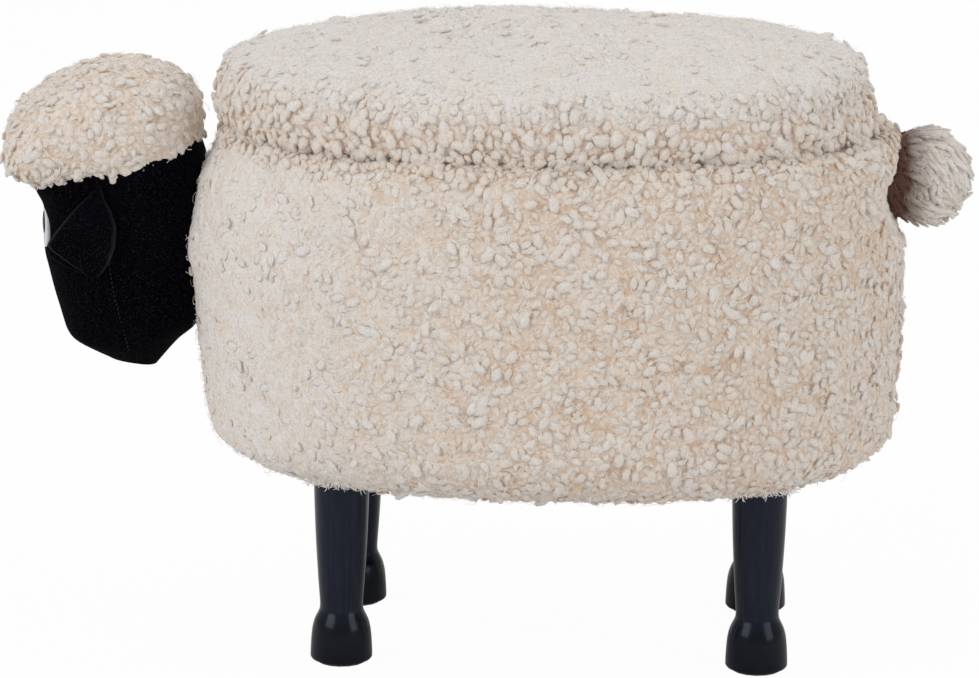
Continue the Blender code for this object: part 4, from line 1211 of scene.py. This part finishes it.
def makeEar(label, side):
    # A folded felt ear: the outer layer's outside, the inner layer's two sides, the outer one's inside
    frontZ, frontX = np.array(ear["front"])[::-1].T
    backZ, backX = np.array(ear["back"])[::-1].T
    count, thick = ear["across"], ear["thick"]
    u = np.linspace(0, 1, count)
    rings = []
    edges = []
    for z in np.linspace(ear["top"], ear["tip"], ear["rows"]):
        front = np.interp(z, frontZ, frontX)
        x = front + (np.interp(z, backZ, backX) - front) * u
        fall = (ear["top"] - z) / (ear["top"] - ear["tip"])
        gap = ear["gap"] + ear["open"] * fall * (1 - u) ** ear["openFall"]
        base = faceReach(z) + ear["offHead"][0] + ear["offHead"][1] * fall
        dome = ear["dome"] * np.sin(math.pi * u ** 0.8) * math.sin(math.pi * min(1, fall + 0.12))
        fold = ramp(fall, *ear["underlapFall"][0]) * ramp(fall, *ear["underlapFall"][1])
        lap = ear["underlap"] * (1 - u) ** 2 * fold
        inner = np.stack([x - 0.3 * lap, base + 0 * u], axis=1)
        innerTop = np.stack([x - 0.3 * lap, base + thick + 0.3 * dome], axis=1)
        outerLow = np.stack([x + lap, base + thick + gap + 0.5 * dome], axis=1)
        outer = np.stack([x + lap, base + 2 * thick + gap + dome], axis=1)
        outer[-1, 0] += ear["backEdge"]
        inner[-1, 0] += ear["backEdge"]
        path = np.vstack([outer, inner[::-1], innerTop[:-1], outerLow[:-1][::-1]])
        # Marks for painted highlights on the cut edges and the back edge
        marks = np.zeros(len(path))
        marks[[0, 2 * count - 1]] = 1.0      # the cut front edges, outside
        marks[[2 * count, -1]] = 0.4         # and inside
        marks[count - 1] = 0.6               # the back edge
        least, most, reach = ear["wornAndSheen"]
        rings.append(np.stack([path[:, 0], side * path[:, 1], np.full(len(path), z)], axis=1))
        edges.append(np.maximum(marks * (least + most * min(1, fall * reach)), ear["napAndLight"]))
    rings, edges = np.array(rings)[::side], np.array(edges)[::side]
    item = loft(label + "_felt_ear", rings, feltFinish, False, edges.ravel(), 60)
    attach(item, "stool")
    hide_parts(label + "_ear")


sides = (("left", -1), ("right", 1))
for label, side in sides:
    makeEar(label, side)
print("ears: 2")

faceSeam = {
    "path": ((-0.2516, 0.2700), (-0.2499, 0.2545), (-0.2471, 0.2372), (-0.2431, 0.2165),
             (-0.2410, 0.2028)),
    "gap": 0.0033,
    "length": 0.0020,
    "radius": 0.00042,
    "swell": ((0.0, 0.25), (0.12, 0.8), (0.4, 1.0), (0.6, 1.0), (0.88, 0.8), (1.0, 0.25)),
    "lift": (1.3, 0.3),
    "steps": 8,
}


def faceSide(x, z):
    # The head's half width at a place along it and a height, between the two nearest rings
    spans = []
    for ring in faceForm:
        side = ring[ring[:, 1] > 0]
        side = side[np.argsort(side[:, 0])]
        spans.append([np.interp(x, side[:, 0], side[:, axis]) for axis in (2, 1)])
    heights, widths = np.array(sorted(spans)).T
    return float(np.interp(z, heights, widths))


def makeStitch(start, end, side):
    length, radius = faceSeam["length"], faceSeam["radius"]
    cosines, sines = around(faceSeam["steps"])
    run = (end - start) / np.linalg.norm(end - start)
    depth = (faceSide(*start) + faceSide(*(start + run * length))) / 2
    across = np.array([-run[1], 0, run[0]])
    out = np.array([0, 1.0, 0])
    rings = []
    for share, width in faceSeam["swell"]:
        lift = radius * (faceSeam["lift"][0] * math.sin(math.pi * share) + faceSeam["lift"][1])
        centre = np.array([start[0] + run[0] * length * share, side * (depth + lift),
                           start[1] + run[1] * length * share])
        rings.append(centre + radius * width * (cosines[:, None] * across + sines[:, None] * out))
    return loft("stitch", np.array(rings), threadFinish)


def makeFaceSeams():
    path = smoothLine(faceSeam["path"], faceSeam["gap"])
    for label, side in sides:
        stitches = [makeStitch(start, end, side) for start, end in zip(path, path[1:])]
        with bpy.context.temp_override(active_object=stitches[0], selected_editable_objects=stitches):
            bpy.ops.object.join()
        item = stitches[0]
        item.name = label + "_face_stitches"
        item.data.name = item.name
        item.parent = faceSkin
    print("face seams: 2")


makeFaceSeams()

eye = {
    "halfWidth": 0.0104,
    "halfHeight": 0.0138,
    "y": 0.0240,
    "z": 0.2875,
    "turn": math.radians(12),
    "bulge": 0.0024,
    # Rings by their share of the size, their lift, and how much they belong to the white rim
    "profile": ((0.02, 0.72, 0), (0.30, 0.70, 0), (0.60, 0.60, 0), (0.82, 0.46, 0), (0.845, 0.50, 0.5),
                (0.87, 0.62, 1), (0.90, 0.72, 1), (0.94, 0.72, 1), (0.975, 0.58, 1), (1.0, 0.28, 1),
                (1.0, -0.60, 1), (0.90, -0.80, 1)),
    "pupil": ((0.02, 1.15, 0), (0.35, 1.12, 0), (0.65, 1.04, 0), (0.85, 0.94, 0), (0.96, 0.80, 0),
              (1.0, 0.66, 0), (0.98, 0.50, 0)),
    "pupilWidth": 0.0056,
    "pupilHeight": 0.0078,
    "pupilRise": 0.0035,
    "steps": 56,
}


def faceFront(y, z):
    # Where the front of the face is at a place across it and a height
    ring = faceForm[np.argmin(np.abs(faceForm[:, head["steps"] // 2, 2] - z))]
    front = ring[ring[:, 0] < ring[:, 0].mean()]
    front = front[np.argsort(front[:, 1])]
    return float(np.interp(y, front[:, 1], front[:, 0]))


def discRings(profile, side, width, height, rise):
    # An oval disc on the front of the face, turned outwards
    y, turn = side * eye["y"], -side * eye["turn"]
    centre = np.array([faceFront(y, eye["z"]), y, eye["z"] + rise])
    out = np.array([-math.cos(turn), -math.sin(turn), 0])
    across = np.array([-math.sin(turn), math.cos(turn), 0])
    up = np.array([0, 0, 1.0])
    cosines, sines = around(eye["steps"])
    rings = [centre + out * lift * eye["bulge"] - across * (width * share * cosines)[:, None]
             + up * (height * share * sines)[:, None] for share, lift, mark in profile]
    return np.array(rings)[::-1]


def makeEyes():
    marks = np.repeat([mark for share, lift, mark in eye["profile"]][::-1], eye["steps"])
    for label, side in sides:
        rings = discRings(eye["profile"], side, eye["halfWidth"], eye["halfHeight"], 0)
        disc = loft(label + "_eye_disc", rings, eyeFinish, False, np.append(marks, [1.0, 0.0]))
        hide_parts(label + "_eye")
        rings = discRings(eye["pupil"], side, eye["pupilWidth"], eye["pupilHeight"], eye["pupilRise"])
        pupil = loft(label + "_pupil_disc", rings, pupilFinish)
        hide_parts(label + "_pupil")
        for item in (disc, pupil):
            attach(item, "stool")
    print("eyes: 2")


makeEyes()

tailMat = dict(bodyMat, curlSize=0.0090, relief=0.0026, swirl=0.9, fineScale=2.3, fineShare=0.30,
               felted=0.30, patchSize=0.022, tone=0.56, toneRandom=0.16, steps=150, rows=80)

tailLocks = dict(bodyLocks, length=0.0122, radius=0.00185, rise=6, curl=60, rings=8, sides=7,
                 swell=(1.0, 1.15, 1.05, 0.75), spacing=0.0031, flat=0.50, vary=0.18, swirl=0.14,
                 spread=0.18, flowSize=0.03, patchSize=0.015, lift=0.0, tone=0.70, toneVary=0.16,
                 lowest=0.70, fade=1.0)

tailFluff = dict(fluff, spacing=0.0028, length=0.0080, tone=0.60)


def ballRings(centre, radius, steps, rows):
    # A ball with its poles towards -X and +X
    across, upright = around(steps)
    rings = []
    for t in np.linspace(0.03, math.pi - 0.03, rows):
        spread = radius * math.sin(t)
        rings.append(np.stack([np.full(steps, -radius * math.cos(t)), spread * across, spread * upright],
                              axis=1) + np.array(centre))
    return np.array(rings)


def awayFromBody(normals):
    heading = np.array(tail["heading"])
    along = heading - normals * (normals @ heading)[:, None]
    return along / np.maximum(np.linalg.norm(along, axis=1), 1e-6)[:, None]


def tailRootShade(points, along):
    # Painted shade: the tail turns brown towards the body
    vary, size = tail["uneven"]
    uneven = points[:, 0] + vary * field(points, size, 2.0)
    share = np.clip((tail["creamX"] - uneven) / (tail["creamX"] - tail["brownX"]), 0, 1)
    return tail["brownShare"] * share ** tail["brownFall"]


def makeTail():
    ball = ballRings(tail["centre"], tail["radius"] - tail["ground"], tailMat["steps"], tailMat["rows"])
    rings, values = matted(lumpy(ball, *tail["lump"], 21.0), tailMat, 17.0)
    skin = loft("tail_fleece_skin", rings, lockFinish)
    values["deep"] = tailRootShade(rings.reshape(-1, 3), 0)
    setValues(skin.data, values, along=0.8, tone=0.6)
    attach(skin, "stool")
    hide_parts("tail_pompom", "tail_stuffing")

    def outside(points):
        return points[:, 0] > tail["rootX"]

    piles = growPile("tail_fleece_locks", tailLocks, rings, 61, 1, outside, awayFromBody, tailRootShade)
    piles += growPile("tail_fleece_fluff", tailFluff, rings, 64, 1, outside, awayFromBody, tailRootShade)
    wear(skin, piles)


makeTail()

cloths = {
    "thread": 0.001,
    "liningThick": 0.0015,
    "floorTop": 0.1609,
    "hoopUnder": 0.3364,
    "wallInset": 0.0493,
    "hoopInset": 0.0593,
    "wrapUnder": 0.3590,
    "dustInset": 0.0903,
    "dustTop": 0.1407,
    "lidInset": 0.0628,
    "lidTop": 0.3653,
    "lidBottom": 0.3520,
    "sharp": 40,
}


def ringLength(ring):
    return float(np.linalg.norm(ring - np.roll(ring, 1, axis=0), axis=1).sum())


def ringArea(ring):
    x, y = ring[:, 0], ring[:, 1]
    return round(float(abs(0.5 * np.sum(x * np.roll(y, -1) - y * np.roll(x, -1)))), 4)


def makeLining():
    thick, at, hoop = cloths["liningThick"], cloths["wallInset"], cloths["hoopInset"]
    low, step, wrap = cloths["floorTop"], cloths["hoopUnder"], cloths["wrapUnder"]
    outer = ((at, low), (at, step), (hoop, step), (hoop, wrap), (at, wrap))
    inner = ((at, wrap + thick), (hoop + thick, wrap + thick), (hoop + thick, step - thick),
             (at + thick, step - thick), (at + thick, low))
    item = loft("tub_lining_cloth", ovalRings(outer + inner), liningFinish, True, sharp=cloths["sharp"])
    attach(item, "stool")
    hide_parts("tub_lining")
    round(ringLength(ovalRing(at, 0)), 3)


def makeDustCloth():
    inset, top = cloths["dustInset"], cloths["dustTop"]
    rings = ovalRings(((inset, top - cloths["thread"]), (inset, top)))
    item = loft("base_dust_cloth", rings, dustFinish, sharp=cloths["sharp"])
    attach(item, "stool")
    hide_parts("dust_cloth")


def makeLidLining():
    inset, top, low, thick = cloths["lidInset"], cloths["lidTop"], cloths["lidBottom"], cloths["thread"]
    rings = ovalRings(((inset + thick, low + thick), (inset + thick, top), (inset, top), (inset, low)))
    item = loft("lid_lining_cloth", rings, liningFinish, sharp=cloths["sharp"])
    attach(item, "lid")
    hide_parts("lid_lining")
    turnUp = top - low
    ringArea(ovalRing(inset - turnUp, 0))


makeLining()
makeDustCloth()
makeLidLining()
print("cloths: 3")

# The finish of the CAD nodes that show, by the first of these words in their names
nodeFinishes = (("_glide", glideFinish), ("screw", steelFinish), ("bolt", steelFinish), ("nut", steelFinish),
                ("_board", woodFinish), ("side_wall", woodFinish), ("rim_hoop", woodFinish),
                ("head_block", woodFinish), ("floor_panel", liningFinish))


def dressNodes():
    for name, item in nodes.items():
        for word, finish in nodeFinishes:
            if word in name:
                item.data.materials.clear()
                item.data.materials.append(finish)
                break


dressNodes()

studio = {
    "floorSize": 16.0,
    "floorColour": (0.86, 0.86, 0.86),
    "floorGlow": 0.965,
    "sky": (1.0, 1.0, 1.0),
    "skyStrength": 0.46,
    # Each lamp's place, size, power and colour
    "lamps": (("key", (-2.3, -1.9, 1.8), 2.0, 34.0, (1.0, 0.998, 0.992)),
              ("fill", (2.5, -1.7, 1.2), 1.6, 18.6, (0.98, 0.99, 1.0)),
              ("top", (0.1, 0.2, 2.8), 2.2, 12.5, (0.95, 0.975, 1.0)),
              ("back", (0.6, 2.8, 1.8), 1.8, 14.0, (1.0, 1.0, 1.0))),
    "aim": (0.0, 0.0, 0.22),
}


def makeFloor():
    half = studio["floorSize"] / 2
    mesh = bpy.data.meshes.new("floor")
    mesh.from_pydata([(-half, -half, 0), (half, -half, 0), (half, half, 0), (-half, half, 0)], [],
                     [(0, 1, 2, 3)])
    finish = Finish("white_floor", studio["floorColour"], 0.9, Specular_IOR_Level=0.0)
    seen = finish.node("LightPath") * studio["floorGlow"]
    lit = Wire(finish, finish.shader.outputs[0])
    glow = finish.node("Emission", None, {"Color": (1.0, 1.0, 1.0, 1.0), "Strength": 1.0})
    shown = finish.node("MixShader", None, {0: seen, 1: lit, 2: glow})
    finish.plug(finish.tree.nodes["Material Output"].inputs["Surface"], shown)
    addMesh("floor", mesh, finish.material)


def makeLight():
    world = bpy.data.worlds.new("studio")
    scene.world = world
    world.use_nodes = True
    backdrop = world.node_tree.nodes["Background"]
    backdrop.inputs["Color"].default_value = (*studio["sky"], 1.0)
    backdrop.inputs["Strength"].default_value = studio["skyStrength"]
    for name, place, size, power, colour in studio["lamps"]:
        data = bpy.data.lights.new(name, "AREA")
        data.size = size
        data.energy = power
        data.color = colour
        lamp = addItem(name, data)
        lamp.location = place
        lamp.rotation_euler = (Vector(studio["aim"]) - Vector(place)).to_track_quat("-Z", "Y").to_euler()
    scene.view_settings.view_transform = "Standard"


makeFloor()
makeLight()
print("studio: %d lamps" % len(studio["lamps"]))
